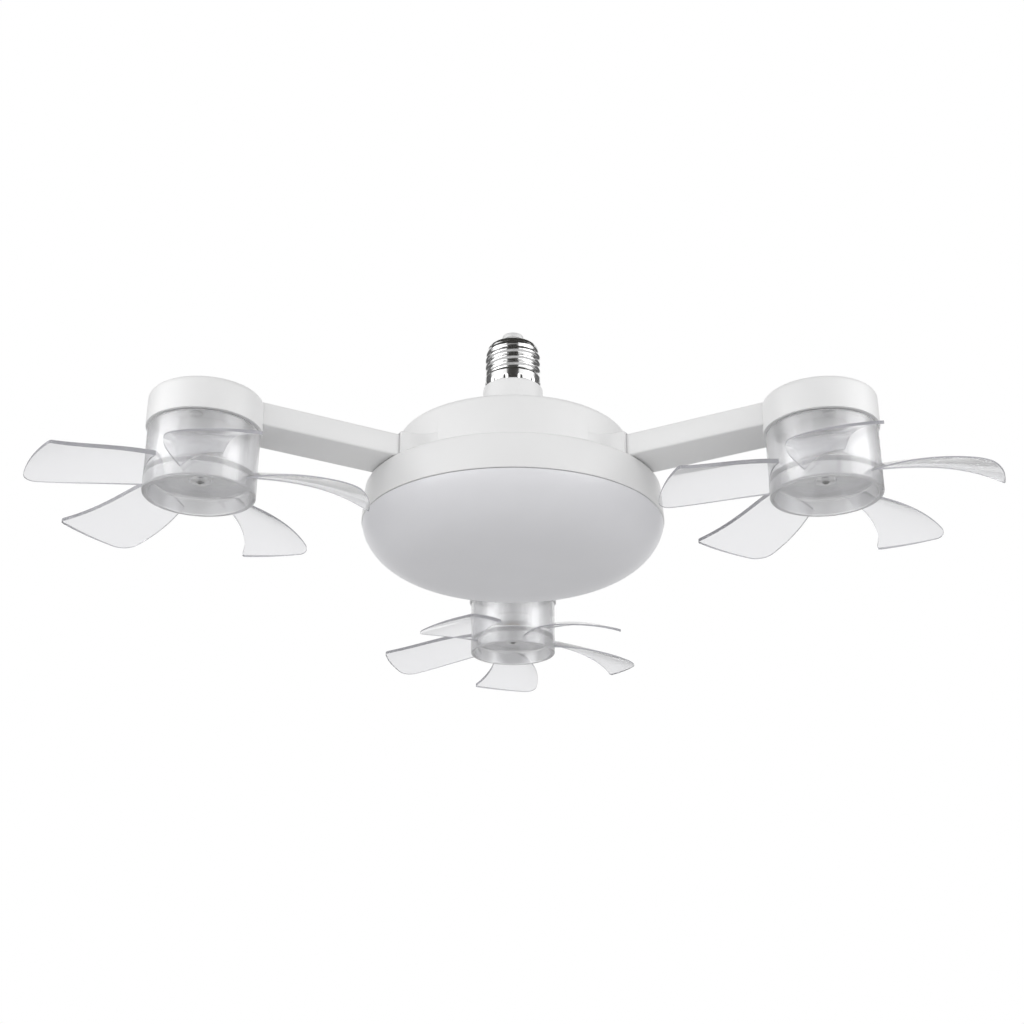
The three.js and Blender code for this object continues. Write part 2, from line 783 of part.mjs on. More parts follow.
// One blade: a thin skin between its trailing and leading edges, from root to tip.
function bladeForm() {
  const span = blade.tipRadius - cupRadius;
  const along = ([root, slope, bow], share) => root + slope * share + bow * share * share;
  const trailingZ = cupBottomZ + blade.trailingRootHeight;
  const leadingZ = cupBottomZ + blade.leadingRootHeight;
  const loops = [];
  for (let row = 0; row <= bladeRows; row++) {
    const upper = [];
    const lower = [];
    for (const chord of bladeChordShares) {
      const tip =
        blade.tipRadius -
        blade.trailingTipLoss * (1 - chord) -
        cornerLoss(chord, trailingCornerShare, blade.trailingCorner) -
        cornerLoss(1 - chord, leadingCornerShare, blade.leadingCorner);
      const root = cupRadius - blade.rootInset;
      const radius = root + ((tip - root) * row) / bladeRows;
      const share = (radius - cupRadius) / span;
      const low = along([trailingZ, -blade.trailingDroop, -blade.trailingCurl], share);
      const high = along([leadingZ, -blade.leadingDroop, -blade.leadingCurl], share);
      const from = along(trailingAngles, share);
      const angle = (from + (along(leadingAngles, share) - from) * chord) * degrees;
      const bulge = blade.camber * (1 - (1 - camberTipShare) * share) * 4 * chord * (1 - chord);
      const z = low + (high - low) * chord + bulge;
      const place = [radius * Math.cos(angle), radius * Math.sin(angle)];
      upper.push([...place, z + blade.thickness / 2]);
      lower.push([...place, z - blade.thickness / 2]);
    }
    loops.push([...upper, ...lower.reverse()]);
  }
  return skin(loops, true);
}

function impeller() {
  const one = bladeForm();
  const blades = [];
  for (let i = 0; i < bladeCount; i++) blades.push(around(one, 0, (360 * i) / bladeCount));
  return join(impellerCup(), ...blades);
}

// Lead from the driver board's underside, down into the arm and out to the motor.
function motorLead() {
  const { offset, bend, radius } = lead;
  const innerEnd = driverRadius - lead.inset;
  const top = driverBottomZ - clearance;
  const end = armReach - Math.sqrt((motor.radius + radius + clearance) ** 2 - offset ** 2);
  return wire(
    [
      [innerEnd, offset, top],
      [innerEnd, offset, top - bend],
      [innerEnd + bend, offset, leadZ],
      [armInnerEnd + bend, offset, leadZ],
      [armReach / 2, offset, leadZ],
      [end, offset, leadZ],
    ],
    radius,
    leadSteps,
  );
}

const contactLead = () =>
  wire(
    [
      [0, 0, flangeBottomZ - clearance],
      [lead.radius, 0, (flangeBottomZ + driverTopZ) / 2],
      [0, 0, driverTopZ + clearance],
    ],
    lead.radius,
    leadSteps / 2,
  );

const finish = (color, roughness, metalness = 0, opacity = 1) =>
  new THREE.MeshStandardMaterial({ color, roughness, metalness, opacity, transparent: opacity < 1 });
const finishes = {
  whitePlastic: finish("#f1f1f1", 0.4),
  opal: finish("#dcdce0", 0.35),
  chrome: finish("#c9cacc", 0.15, 1),
  tin: finish("#cfd0d0", 0.35, 1),
  insulator: finish("#dcdcdc", 0.5),
  clearPlastic: finish("#eceef2", 0.08, 0, 0.35),
  aluminium: finish("#bfc1c4", 0.4, 1),
  boardWhite: finish("#eeeeea", 0.5),
  circuitBoard: finish("#2f6b45", 0.55),
  wound: finish("#c9a13b", 0.6),
  sleeve: finish("#23262b", 0.45),
  terminalGrey: finish("#9fa4a8", 0.5),
  steel: finish("#8f9296", 0.35, 1),
  leadWhite: finish("#e6e3dc", 0.6),
};

function piece(parent, name, geometry, material) {
  const mesh = new THREE.Mesh(geometry, material);
  mesh.name = name;
  parent.add(mesh);
  return mesh;
}

const group = new THREE.Group();

piece(group, "centre_contact", centreContact(), finishes.tin);
piece(group, "cap_insulator", capInsulator(), finishes.insulator);
piece(group, "screw_shell", screwShell(), finishes.chrome);
piece(group, "upper_housing", upperHousing(), finishes.whitePlastic);
piece(group, "trim_ring", trimRing(), finishes.whitePlastic);
piece(group, "diffuser", diffuser(), finishes.opal);
piece(group, "heat_dish", heatDish(), finishes.aluminium);
piece(group, "led_board", ledBoard(), finishes.boardWhite);
piece(group, "driver_board", driverBoard(), finishes.circuitBoard);
piece(group, "transformer", transformerBody(), finishes.wound);
piece(group, "capacitor", capacitorCan(), finishes.sleeve);
piece(group, "terminal_block", terminalBlock(), finishes.terminalGrey);
piece(group, "contact_lead", contactLead(), finishes.leadWhite);

// One branch for each fan, turned so that its +X runs out along the arm.
for (const [side, angle] of Object.entries(armAngles)) {
  const branch = new THREE.Group();
  branch.rotation.z = angle * degrees;
  group.add(branch);
  piece(branch, `arm_${side}`, armTube(), finishes.whitePlastic);
  piece(branch, `arm_screw_${side}`, armScrew(), finishes.steel).position.x = armScrewCircle;
  piece(branch, `motor_lead_${side}`, motorLead(), finishes.leadWhite);
  piece(branch, `board_screw_${side}`, boardFixing(), finishes.steel).position.x = boardScrewCircle;
  const between = new THREE.Group();
  between.rotation.z = halfArmAngle * degrees;
  branch.add(between);
  piece(between, `housing_screw_${side}`, housingScrew(), finishes.steel).position.x = screwCircle;

  const head = new THREE.Group();
  head.position.x = armReach;
  branch.add(head);
  piece(head, `motor_housing_${side}`, motorHousing(), finishes.whitePlastic);
  piece(head, `motor_plate_${side}`, motorPlate(), finishes.boardWhite);
  piece(head, `motor_can_${side}`, motorCan(), finishes.steel);
  piece(head, `motor_bearing_${side}`, motorBearing(), finishes.wound);
  motorScrewAngles.forEach((screwAngle, index) => {
    const mesh = piece(head, `motor_screw_${side}_${index + 1}`, motorScrew(), finishes.steel);
    const turn = screwAngle * degrees;
    mesh.position.set(motorBossCircle * Math.cos(turn), motorBossCircle * Math.sin(turn), 0);
  });

  const rotor = new THREE.Group();
  rotor.rotation.z = (impellerAngles[side] - angle) * degrees;
  head.add(rotor);
  piece(rotor, `impeller_${side}`, impeller(), finishes.clearPlastic);
  piece(rotor, `motor_shaft_${side}`, motorShaft(), finishes.steel);
  piece(rotor, `hub_screw_${side}`, hubScrewBody(), finishes.steel);
}

export default group;
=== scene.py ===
# %% [markdown]
# This lamp screws into a ceiling lampholder. A white drum carries an opal bowl for the light
# and three hollow arms, and a clear fan hangs under the motor at the end of each arm.
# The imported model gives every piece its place, and this lesson gives each one its real skin:
# round walls instead of facets, moulded edges, a rolled thread and clear plastic.
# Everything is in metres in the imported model's own frame, with +Z up and the front at -Y.

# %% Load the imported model
import math
import bpy
import numpy as np
from mathutils import Matrix, Vector


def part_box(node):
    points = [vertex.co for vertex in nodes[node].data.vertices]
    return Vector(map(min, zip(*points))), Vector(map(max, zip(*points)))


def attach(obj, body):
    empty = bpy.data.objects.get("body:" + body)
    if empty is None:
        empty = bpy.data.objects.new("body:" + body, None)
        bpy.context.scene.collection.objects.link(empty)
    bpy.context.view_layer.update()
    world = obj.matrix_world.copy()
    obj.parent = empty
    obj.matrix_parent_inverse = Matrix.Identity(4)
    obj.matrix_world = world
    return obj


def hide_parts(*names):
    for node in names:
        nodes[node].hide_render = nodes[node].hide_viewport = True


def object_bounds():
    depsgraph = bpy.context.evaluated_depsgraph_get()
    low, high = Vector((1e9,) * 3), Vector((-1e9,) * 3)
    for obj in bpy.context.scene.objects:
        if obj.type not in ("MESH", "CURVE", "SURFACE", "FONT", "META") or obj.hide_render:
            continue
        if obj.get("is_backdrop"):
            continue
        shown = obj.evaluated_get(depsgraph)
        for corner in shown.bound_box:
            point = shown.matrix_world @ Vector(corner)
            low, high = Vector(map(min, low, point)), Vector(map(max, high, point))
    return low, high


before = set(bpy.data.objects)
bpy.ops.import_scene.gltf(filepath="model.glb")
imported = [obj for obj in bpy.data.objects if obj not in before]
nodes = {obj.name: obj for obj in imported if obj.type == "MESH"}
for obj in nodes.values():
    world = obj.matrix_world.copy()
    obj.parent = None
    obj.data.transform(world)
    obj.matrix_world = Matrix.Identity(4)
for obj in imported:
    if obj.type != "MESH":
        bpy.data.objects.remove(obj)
size_at_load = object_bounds()

# %% [markdown]
# The sizes below are in millimetres, as a maker reads them from a drawing. Most heights are read
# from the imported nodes, so that a skin always sits where its solid sits. Three sizes are the same
# all over the lamp: the gap between pieces that sit against each other, the small rounding of
# moulded edges, and how far a cutting tool reaches past the piece that it cuts.

# %% Units and measuring
MM = 0.001
SIDES = {"left": math.radians(210), "right": math.radians(330), "back": math.radians(90)}
ARM_REACH = 148.5
ROUND_STEPS = 96
SMALL_STEPS = 32
WELD = 1e-7
GAP = 0.3
SOFT_EDGE = 0.4
OVERCUT = 1.0


def top_of(node):
    """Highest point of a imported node, in millimetres."""
    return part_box(node)[1].z / MM


def foot_of(node):
    """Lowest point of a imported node, in millimetres."""
    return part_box(node)[0].z / MM


def reach_of(node):
    """Half the width of a packed round node along X, in millimetres."""
    low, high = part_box(node)
    return (high.x - low.x) / 2 / MM


print("drum radius", round(reach_of("upper_housing"), 2), "mm")
print("bowl foot", round(foot_of("diffuser"), 2), "mm")

# %% [markdown]
# Operators act on whatever is selected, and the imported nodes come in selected. So each tool here
# lets go of everything first, and then picks one piece, or some of its faces by a rule. A piece
# that is drawn or bent in the lesson may have faces that look inward. Light and booleans ask
# which side is outside, so one tool turns them all outward.

# %% Tools: let go, pick, turn faces outward


def let_go():
    """Leaves edit mode, selects nothing and goes back to choosing single points."""
    if bpy.context.mode != "OBJECT":
        bpy.ops.object.mode_set(mode="OBJECT")
    bpy.ops.object.select_all(action="DESELECT")
    bpy.context.tool_settings.mesh_select_mode = (True, False, False)


def pick(piece):
    """Selects one piece alone and makes it the active one."""
    let_go()
    piece.select_set(True)
    bpy.context.view_layer.objects.active = piece


def pick_faces(piece, wanted):
    """Opens a piece in edit mode with only the faces selected for which wanted is true."""
    pick(piece)
    bpy.context.tool_settings.mesh_select_mode = (False, False, True)
    bpy.ops.object.mode_set(mode="EDIT")
    bpy.ops.mesh.select_all(action="DESELECT")
    bpy.ops.object.mode_set(mode="OBJECT")
    for face in piece.data.polygons:
        face.select = wanted(face)
    bpy.ops.object.mode_set(mode="EDIT")


def face_outward(piece):
    """Turns every face of a closed piece outward."""
    pick(piece)
    bpy.ops.object.mode_set(mode="EDIT")
    bpy.ops.mesh.select_all(action="SELECT")
    bpy.ops.mesh.normals_make_consistent(inside=False)
    bpy.ops.object.mode_set(mode="OBJECT")
    return piece


# %% [markdown]
# The main tool draws half of a section, one corner after another, and spins it round the upright
# axis, as a lathe or a round mould would. A corner may carry a third number, its rounding. It
# then becomes a short curve whose two handles are pulled towards the corner, which comes very
# close to a quarter circle.

# %% Tools: round corners and spin a section
PULL = 0.55
ROUNDING_STEPS = 4
CREASE = 32
MOULDED_CREASE = 40
WIDE_CREASE = 50


def curved(outline, closed=False, steps=ROUNDING_STEPS):
    """Turns each corner that has a third number, its rounding, into nearly a quarter circle."""
    points = []
    count = len(outline)
    for i, corner in enumerate(outline):
        here = Vector(corner[:2])
        rounding = corner[2] if len(corner) > 2 else 0
        if not rounding or (not closed and i in (0, count - 1)):
            points.append(here)
            continue
        back = Vector(outline[i - 1][:2]) - here
        ahead = Vector(outline[(i + 1) % count][:2]) - here
        start = here + back.normalized() * min(rounding, back.length / 2)
        end = here + ahead.normalized() * min(rounding, ahead.length / 2)
        first = start.lerp(here, PULL)
        second = end.lerp(here, PULL)
        for k in range(steps + 1):
            t = k / steps
            early = start * (1 - t) ** 3 + first * 3 * t * (1 - t) ** 2
            late = second * 3 * t * t * (1 - t) + end * t**3
            points.append(early + late)
    return points


def spun(name, outline, closed=False, steps=ROUND_STEPS):
    """Draws a half section in millimetres, [radius, height], and spins it round the axis."""
    let_go()
    first = outline[0]
    bpy.ops.mesh.primitive_plane_add(size=MM, location=(first[0] * MM, 0, first[1] * MM))
    piece = bpy.context.object
    piece.name = name
    bpy.ops.object.transform_apply(location=True, rotation=False, scale=False)
    bpy.ops.object.mode_set(mode="EDIT")
    bpy.ops.mesh.merge(type="CENTER")
    around = list(outline) + ([first] if closed else [])
    for here, there in zip(around, around[1:]):
        step = ((there[0] - here[0]) * MM, 0, (there[1] - here[1]) * MM)
        bpy.ops.mesh.extrude_region_move(TRANSFORM_OT_translate={"value": step})
    bpy.ops.mesh.select_all(action="SELECT")
    bpy.ops.mesh.spin(steps=steps, angle=math.tau, center=(0, 0, 0), axis=(0, 0, 1))
    bpy.ops.mesh.select_all(action="SELECT")
    bpy.ops.mesh.remove_doubles(threshold=WELD * 10)
    return face_outward(piece)


def turned(name, corners, closed=False, steps=ROUND_STEPS, rounding_steps=ROUNDING_STEPS):
    """Rounds the corners of a half section and spins it."""
    return spun(name, curved(corners, closed, rounding_steps), closed, steps)


def smooth(piece, angle=CREASE):
    """Shades soft curves smooth and keeps edges sharper than this angle."""
    pick(piece)
    bpy.ops.object.shade_smooth_by_angle(angle=math.radians(angle))
    return piece


print("spinning in", ROUND_STEPS, "steps")

# %% [markdown]
# What repeats on the lamp is modelled once and copied, each copy with its own mesh. The pattern
# goes once its copies are made.

# %% Tools: copy and discard


def copy_of(piece, name, turn=0.0, shift=(0, 0, 0)):
    """A copy with its own mesh, turned about the axis and then shifted in millimetres."""
    made = piece.copy()
    made.data = piece.data.copy()
    made.name = name
    made.data.name = name
    bpy.context.scene.collection.objects.link(made)
    place = Matrix.Translation(Vector(shift) * MM) @ Matrix.Rotation(turn, 4, "Z")
    made.data.transform(place)
    return made


def discard(piece):
    """Removes a pattern piece once its copies are made."""
    bpy.data.objects.remove(piece)


print("screws to copy:", sum("_screw_" in name for name in nodes))

# %% [markdown]
# Not everything is round. A box is a cube set between two corners. A prism is a flat outline
# that is filled and pulled up, and its outline may hold parts of circles.

# %% Tools: box, prism and arc


def cube(name, low, high):
    """A box between two corners in millimetres, its place in its mesh."""
    let_go()
    middle = [(a + b) / 2 * MM for a, b in zip(low, high)]
    size = [(b - a) * MM for a, b in zip(low, high)]
    bpy.ops.mesh.primitive_cube_add(size=1, location=middle, scale=size)
    piece = bpy.context.object
    piece.name = name
    bpy.ops.object.transform_apply(location=True, rotation=False, scale=True)
    return piece


def prism(name, outline, low, high):
    """Fills a closed outline of [x, y] corners in millimetres and pulls it up to a block."""
    let_go()
    bpy.ops.mesh.primitive_circle_add(vertices=len(outline), radius=MM, fill_type="NGON")
    piece = bpy.context.object
    piece.name = name
    for vertex, (x, y) in zip(piece.data.vertices, outline):
        vertex.co = (x * MM, y * MM, low * MM)
    bpy.ops.object.mode_set(mode="EDIT")
    bpy.ops.mesh.select_all(action="SELECT")
    rise = (0, 0, (high - low) * MM)
    bpy.ops.mesh.extrude_region_move(TRANSFORM_OT_translate={"value": rise})
    return face_outward(piece)


def arc(middle, radius, start, end, steps=8):
    """Corners along a part of a circle, with its angles in degrees."""
    turns = [math.radians(start + (end - start) * k / steps) for k in range(steps + 1)]
    return [(middle[0] + radius * math.cos(t), middle[1] + radius * math.sin(t)) for t in turns]


print("a quarter circle:", len(arc((0, 0), 1, 0, 90)), "corners")

# %% [markdown]
# A boolean joins a box or prism to a piece or cuts it out. A bevel gives flat pieces the rounded
# edges of a moulding.

# %% Tools: join or cut, soften


def combine(piece, tool, operation):
    """Joins a tool to a piece or cuts it away, then removes the tool."""
    pick(piece)
    modifier = piece.modifiers.new(operation.lower(), "BOOLEAN")
    modifier.operation = operation
    modifier.solver = "EXACT"
    modifier.object = tool
    bpy.ops.object.modifier_apply(modifier=modifier.name)
    discard(tool)
    return piece


def soften(piece, width, segments=2, angle=40):
    """Bevels every edge sharper than the angle, as a mould's rounded corners would."""
    pick(piece)
    modifier = piece.modifiers.new("soft_edges", "BEVEL")
    modifier.width = width * MM
    modifier.segments = segments
    modifier.limit_method = "ANGLE"
    modifier.angle_limit = math.radians(angle)
    modifier.use_clamp_overlap = True
    bpy.ops.object.modifier_apply(modifier=modifier.name)
    return piece


print("tools ready")

# %% [markdown]
# Finishes are built from shader nodes. Three helpers make a group with named sockets, add a
# node, and join nodes by the names of their sockets.

# %% Tools: shader nodes


def new_group(name, inputs, outputs):
    """A shader node group with named inputs, their starting values, and named outputs."""
    group = bpy.data.node_groups.new(name, "ShaderNodeTree")
    for label, kind, value in inputs:
        socket = group.interface.new_socket(name=label, in_out="INPUT", socket_type=kind)
        socket.default_value = value
    for label, kind in outputs:
        group.interface.new_socket(name=label, in_out="OUTPUT", socket_type=kind)
    return group


def node_in(tree, kind, **values):
    """Adds a node and sets what is given on it."""
    made = tree.nodes.new(kind)
    for key, value in values.items():
        setattr(made, key, value)
    return made


def wire(tree, *joins):
    """Joins nodes. Each join is a node and its output, then a node and its input."""
    for start, output, end, socket in joins:
        tree.links.new(start.outputs[output], end.inputs[socket])


print("node groups so far:", len(bpy.data.node_groups))

# %% [markdown]
# No moulded or rolled surface is perfectly even. One node group gives every finish a faint
# drift of tone and of gloss, and a fine grain that feeds a bump. It reads object coordinates,
# so the pattern stays on the piece. Each material puts its own values in the group's inputs.

# %% Shared effect: drift of tone, gloss and grain
PATCH_DETAIL = 3.0
GRAIN_DETAIL = 2.0
PATCH_SPREAD = (0.35, 0.65)

surface_drift = new_group(
    "surface_drift",
    [
        ("Tone", "NodeSocketColor", (0.8, 0.8, 0.8, 1)),
        ("Shade", "NodeSocketColor", (0.75, 0.75, 0.75, 1)),
        ("Patch Scale", "NodeSocketFloat", 30.0),
        ("Gloss Low", "NodeSocketFloat", 0.3),
        ("Gloss High", "NodeSocketFloat", 0.4),
        ("Grain Scale", "NodeSocketFloat", 1500.0),
        ("Stretch", "NodeSocketVector", (1.0, 1.0, 1.0)),
    ],
    [("Color", "NodeSocketColor"), ("Roughness", "NodeSocketFloat"), ("Grain", "NodeSocketFloat")],
)
tree = surface_drift
put = tree.nodes.new("NodeGroupInput")
out = tree.nodes.new("NodeGroupOutput")
place = tree.nodes.new("ShaderNodeTexCoord")
stretch = node_in(tree, "ShaderNodeMapping", vector_type="POINT")
patches = tree.nodes.new("ShaderNodeTexNoise")
patches.inputs["Detail"].default_value = PATCH_DETAIL
grain = tree.nodes.new("ShaderNodeTexNoise")
grain.inputs["Detail"].default_value = GRAIN_DETAIL
spread = tree.nodes.new("ShaderNodeMapRange")
spread.inputs["From Min"].default_value = PATCH_SPREAD[0]
spread.inputs["From Max"].default_value = PATCH_SPREAD[1]
tint = node_in(tree, "ShaderNodeMix", data_type="RGBA")
gloss = tree.nodes.new("ShaderNodeMapRange")
wire(
    tree,
    (place, "Object", patches, "Vector"),
    (place, "Object", stretch, "Vector"),
    (put, "Stretch", stretch, "Scale"),
    (stretch, "Vector", grain, "Vector"),
    (put, "Patch Scale", patches, "Scale"),
    (put, "Grain Scale", grain, "Scale"),
    (patches, "Fac", spread, "Value"),
    (spread, "Result", tint, "Factor"),
    (put, "Tone", tint, "A"),
    (put, "Shade", tint, "B"),
    (grain, "Fac", gloss, "Value"),
    (put, "Gloss Low", gloss, "To Min"),
    (put, "Gloss High", gloss, "To Max"),
    (tint, "Result", out, "Color"),
    (gloss, "Result", out, "Roughness"),
    (grain, "Fac", out, "Grain"),
)
print("group surface_drift:", len(tree.nodes), "nodes")

# %% [markdown]
# A finish is a Principled shader that takes its tone, gloss and bump from the group. What is the
# same all over, such as metal or how clear it is, stays a plain number on the shader.

# %% A maker for finishes
BUMP_STRENGTH = 0.5


def finish(
    name, tone, shade, gloss, patch=30.0, grain=1500.0, bump=0.1, stretch=(1, 1, 1), **plain
):
    """A procedural finish. Gloss is the lowest and highest roughness, bump a height in mm."""
    material = bpy.data.materials.new(name)
    material.use_nodes = True
    tree = material.node_tree
    shader = tree.nodes["Principled BSDF"]
    drift = tree.nodes.new("ShaderNodeGroup")
    drift.node_tree = surface_drift
    drift.inputs["Tone"].default_value = (*tone, 1)
    drift.inputs["Shade"].default_value = (*shade, 1)
    drift.inputs["Patch Scale"].default_value = patch
    drift.inputs["Gloss Low"].default_value = gloss[0]
    drift.inputs["Gloss High"].default_value = gloss[1]
    drift.inputs["Grain Scale"].default_value = grain
    drift.inputs["Stretch"].default_value = stretch
    raised = tree.nodes.new("ShaderNodeBump")
    raised.inputs["Strength"].default_value = BUMP_STRENGTH
    raised.inputs["Distance"].default_value = bump * MM
    wire(
        tree,
        (drift, "Color", shader, "Base Color"),
        (drift, "Roughness", shader, "Roughness"),
        (drift, "Grain", raised, "Height"),
        (raised, "Normal", shader, "Normal"),
    )
    for label, value in plain.items():
        shader.inputs[label.replace("_", " ")].default_value = value
    return material


def grey(value, blue=0.0):
    """A grey, with a little blue in it where blue is given."""
    return (value, value, value + blue)


print("every finish uses the group", surface_drift.name)

# %% [markdown]
# Five finishes show on the lamp's body: plain white plastic, the slightly bluer opal plastic of
# the bowl, the plated shell of the cap, the dull tin of its contact, and the pale heat-proof
# plastic of the insulator. The shell's fine grain is drawn out round the axis, as the rolls
# leave their marks.

# %% Finishes: housing, bowl and cap
white_plastic = finish("white_plastic", grey(0.86), grey(0.84), (0.34, 0.44), bump=0.01)
opal_plastic = finish(
    "opal_plastic", grey(0.835, 0.026), grey(0.815, 0.026), (0.3, 0.38), bump=0.008
)
cap_chrome = finish(
    "cap_chrome", grey(0.94), grey(0.88), (0.12, 0.19), bump=0.003, stretch=(1, 1, 6), Metallic=1.0
)
contact_tin = finish("contact_tin", grey(0.86), grey(0.8), (0.45, 0.6), bump=0.02, Metallic=0.2)
pale_insulator = finish("pale_insulator", grey(0.86), grey(0.82), (0.4, 0.5), bump=0.02)
print("outer finishes:", len(bpy.data.materials))

# %% [markdown]
# Each fan is one clear moulding with four finishes. The thin blades are quite clear. Their
# narrow sides are painted greyer, a painted shade for how an edge looks when one looks through
# the whole width. The cup's wall is slightly hazy, with faint upright streaks from the mould. The
# recess under its web is painted darker and partly metallic: painted shade and a painted dull
# reflection, as the recess looks from below. A renderer gives clear plastic the shadow of a solid
# piece, which looks wrong under thin blades. So most of the light of a lamp is let straight
# through for shadows.

# %% Finishes: clear plastic
CLEAR_SHARE = 0.8


def thin_shadow(material, share):
    """Lets this share of the lamps' light go straight through, so that the shadow is thin."""
    tree = material.node_tree
    path = tree.nodes.new("ShaderNodeLightPath")
    part = tree.nodes.new("ShaderNodeMath")
    part.operation = "MULTIPLY"
    part.inputs[1].default_value = share
    through = tree.nodes.new("ShaderNodeBsdfTransparent")
    mix = tree.nodes.new("ShaderNodeMixShader")
    shader = tree.nodes["Principled BSDF"]
    output = tree.nodes["Material Output"]
    wire(
        tree,
        (path, "Is Shadow Ray", part, 0),
        (part, "Value", mix, "Fac"),
        (shader, "BSDF", mix, 1),
        (through, "BSDF", mix, 2),
        (mix, "Shader", output, "Surface"),
    )


blade_clear = finish(
    "blade_clear", grey(0.965, 0.014), grey(0.95, 0.014), (0.02, 0.05), bump=0.004, patch=12.0,
    Transmission_Weight=0.86, IOR=1.3,
)
# The narrow sides: a greyer colour, painted shade for looking through a blade edge on.
blade_edge_painted_shade = finish(
    "blade_edge_painted_shade", grey(0.52, 0.03), grey(0.45, 0.03), (0.2, 0.3), bump=0.004,
    Transmission_Weight=0.4, IOR=1.3,
)
cup_clear = finish(
    "cup_clear", grey(0.95, 0.01), grey(0.92, 0.01), (0.16, 0.26), grain=700.0, bump=0.004,
    patch=18.0, stretch=(1, 1, 0.08), Metallic=0.09, Transmission_Weight=0.8, IOR=1.35,
)
# The recess under the web: darker and partly metallic, painted shade and a painted dull reflection.
recess_painted_shade = finish(
    "recess_painted_shade", grey(0.81, 0.01), grey(0.76, 0.01), (0.14, 0.24), grain=300.0, bump=0.001,
    patch=30.0, Metallic=0.4, Transmission_Weight=0.6, IOR=1.35,
)
impeller_finishes = (cup_clear, blade_clear, blade_edge_painted_shade, recess_painted_shade)
for clear_plastic in impeller_finishes:
    thin_shadow(clear_plastic, CLEAR_SHARE)
print("clear finishes:", len(impeller_finishes))

# %% [markdown]
# The other finishes belong to what sits inside: motors, screws, boards, parts on the boards and
# leads. The motor's can and plate are seen through the clear cup, so they are kept pale.

# %% Finishes: motors, screws and inner pieces
satin_aluminium = finish(
    "satin_aluminium", grey(0.6), grey(0.52), (0.3, 0.42), bump=0.02, Metallic=1.0
)
pale_zinc = finish("pale_zinc", grey(0.66), grey(0.6), (0.35, 0.45), bump=0.004, Metallic=0.15)
plate_white = finish("plate_white", grey(0.62), grey(0.58), (0.45, 0.55), bump=0.02)
board_white = finish("board_white", grey(0.82), grey(0.78), (0.4, 0.5), bump=0.01)
circuit_green = finish(
    "circuit_green", (0.02, 0.13, 0.05), (0.02, 0.1, 0.04), (0.3, 0.45), bump=0.02
)
winding_tape = finish(
    "winding_tape", (0.55, 0.33, 0.05), (0.45, 0.26, 0.04), (0.4, 0.6), bump=0.05
)
dark_sleeve = finish("dark_sleeve", grey(0.02, 0.01), grey(0.03, 0.01), (0.25, 0.4), bump=0.01)
terminal_grey = finish("terminal_grey", grey(0.3), grey(0.26), (0.45, 0.6), bump=0.02)
zinc_steel = finish(
    "zinc_steel", grey(0.42), grey(0.34), (0.25, 0.42), bump=0.02, stretch=(1, 1, 8), Metallic=1.0
)
dark_steel = finish("dark_steel", grey(0.4), grey(0.32), (0.3, 0.5), bump=0.02, Metallic=0.6)
sintered_bronze = finish(
    "sintered_bronze", (0.42, 0.26, 0.1), (0.33, 0.2, 0.08), (0.4, 0.6), bump=0.05, Metallic=1.0
)
lead_sleeve = finish("lead_sleeve", (0.75, 0.72, 0.66), (0.68, 0.65, 0.6), (0.45, 0.6), bump=0.02)
print("finishes:", len(bpy.data.materials))

# %% [markdown]
# Every skin is handed over in the same way: it gets its finish, rides on its body and stands for
# its imported node, which is hidden.

# %% Handing a skin over


def add_finishes(piece, materials):
    """Gives a piece these finishes, after the ones it has."""
    for material in materials:
        piece.data.materials.append(material)


def dress(piece, body, node, slot, *materials):
    """Gives a skin its finish, ties it to its body and hides its node; the slot is not used."""
    if materials:
        piece.data.materials.clear()
        add_finishes(piece, materials)
    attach(piece, body)
    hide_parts(node)
    return piece


def paint(node, material):
    """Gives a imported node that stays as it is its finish."""
    nodes[node].data.materials.clear()
    add_finishes(nodes[node], [material])


def under_arm(pattern, kind, side, slot, *materials, body="lamp_body", turn=0.0):
    """Copies a pattern from the origin's axis to the end of one arm and hands it over."""
    angle = SIDES[side]
    reach = (ARM_REACH * math.cos(angle), ARM_REACH * math.sin(angle), 0)
    skin = copy_of(pattern, f"{kind}_skin_{side}", turn, reach)
    return dress(skin, body, f"{kind}_{side}", slot, *materials)


print("hand-over ready")

# %% [markdown]
# The screw cap is a thin metal shell. A factory draws it as a plain cup and then rolls the
# thread into it. A screw modifier would leave cut ends, so the plain shell is spun first, with
# many rows of points in its wall.

# %% Screw cap: plain shell
SHELL_ROOT = 12.3
SHELL_BORE = 11.5
SKIRT_RADIUS = 13.3
LIP_RADIUS = 7.2
LIP_THICKNESS = 0.9
SHOULDER = 2.6
THREAD_TOP_Z = -8.6
THREAD_FOOT_Z = -22.6
SKIRT_TOP_Z = -23.8
THREAD_ROWS = 120
SKIRT_ROWS = 14
SHELL_STEPS = 192

shell_top = top_of("screw_shell")
shell_foot = foot_of("screw_shell")
wall = [(SHELL_BORE, shell_foot)]
for k in range(SKIRT_ROWS + 1):
    wall.append((SKIRT_RADIUS, shell_foot + (SKIRT_TOP_Z - shell_foot) * k / SKIRT_ROWS))
for k in range(THREAD_ROWS + 1):
    wall.append((SHELL_ROOT, THREAD_FOOT_Z + (THREAD_TOP_Z - THREAD_FOOT_Z) * k / THREAD_ROWS))
crown = curved(
    [
        (SHELL_ROOT, 2 * THREAD_TOP_Z - shell_top),
        (SHELL_ROOT, shell_top, SHOULDER),
        (LIP_RADIUS, shell_top, LIP_THICKNESS / 3),
        (LIP_RADIUS, shell_top - LIP_THICKNESS),
        (SHELL_BORE, shell_top - LIP_THICKNESS),
    ]
)
shell = spun("threaded_shell", wall + crown[1:], closed=True, steps=SHELL_STEPS)
print("shell:", len(shell.data.vertices), "points")

# %% [markdown]
# Rolling makes the wall wave in and out and climb one pitch in each turn. Crest and groove are
# both parts of a circle, so the flanks between them are steep, and the wave fades at both ends.
# A ring of small dents at the foot holds the shell on the neck. All points are read as one
# table, moved by these rules and put back.

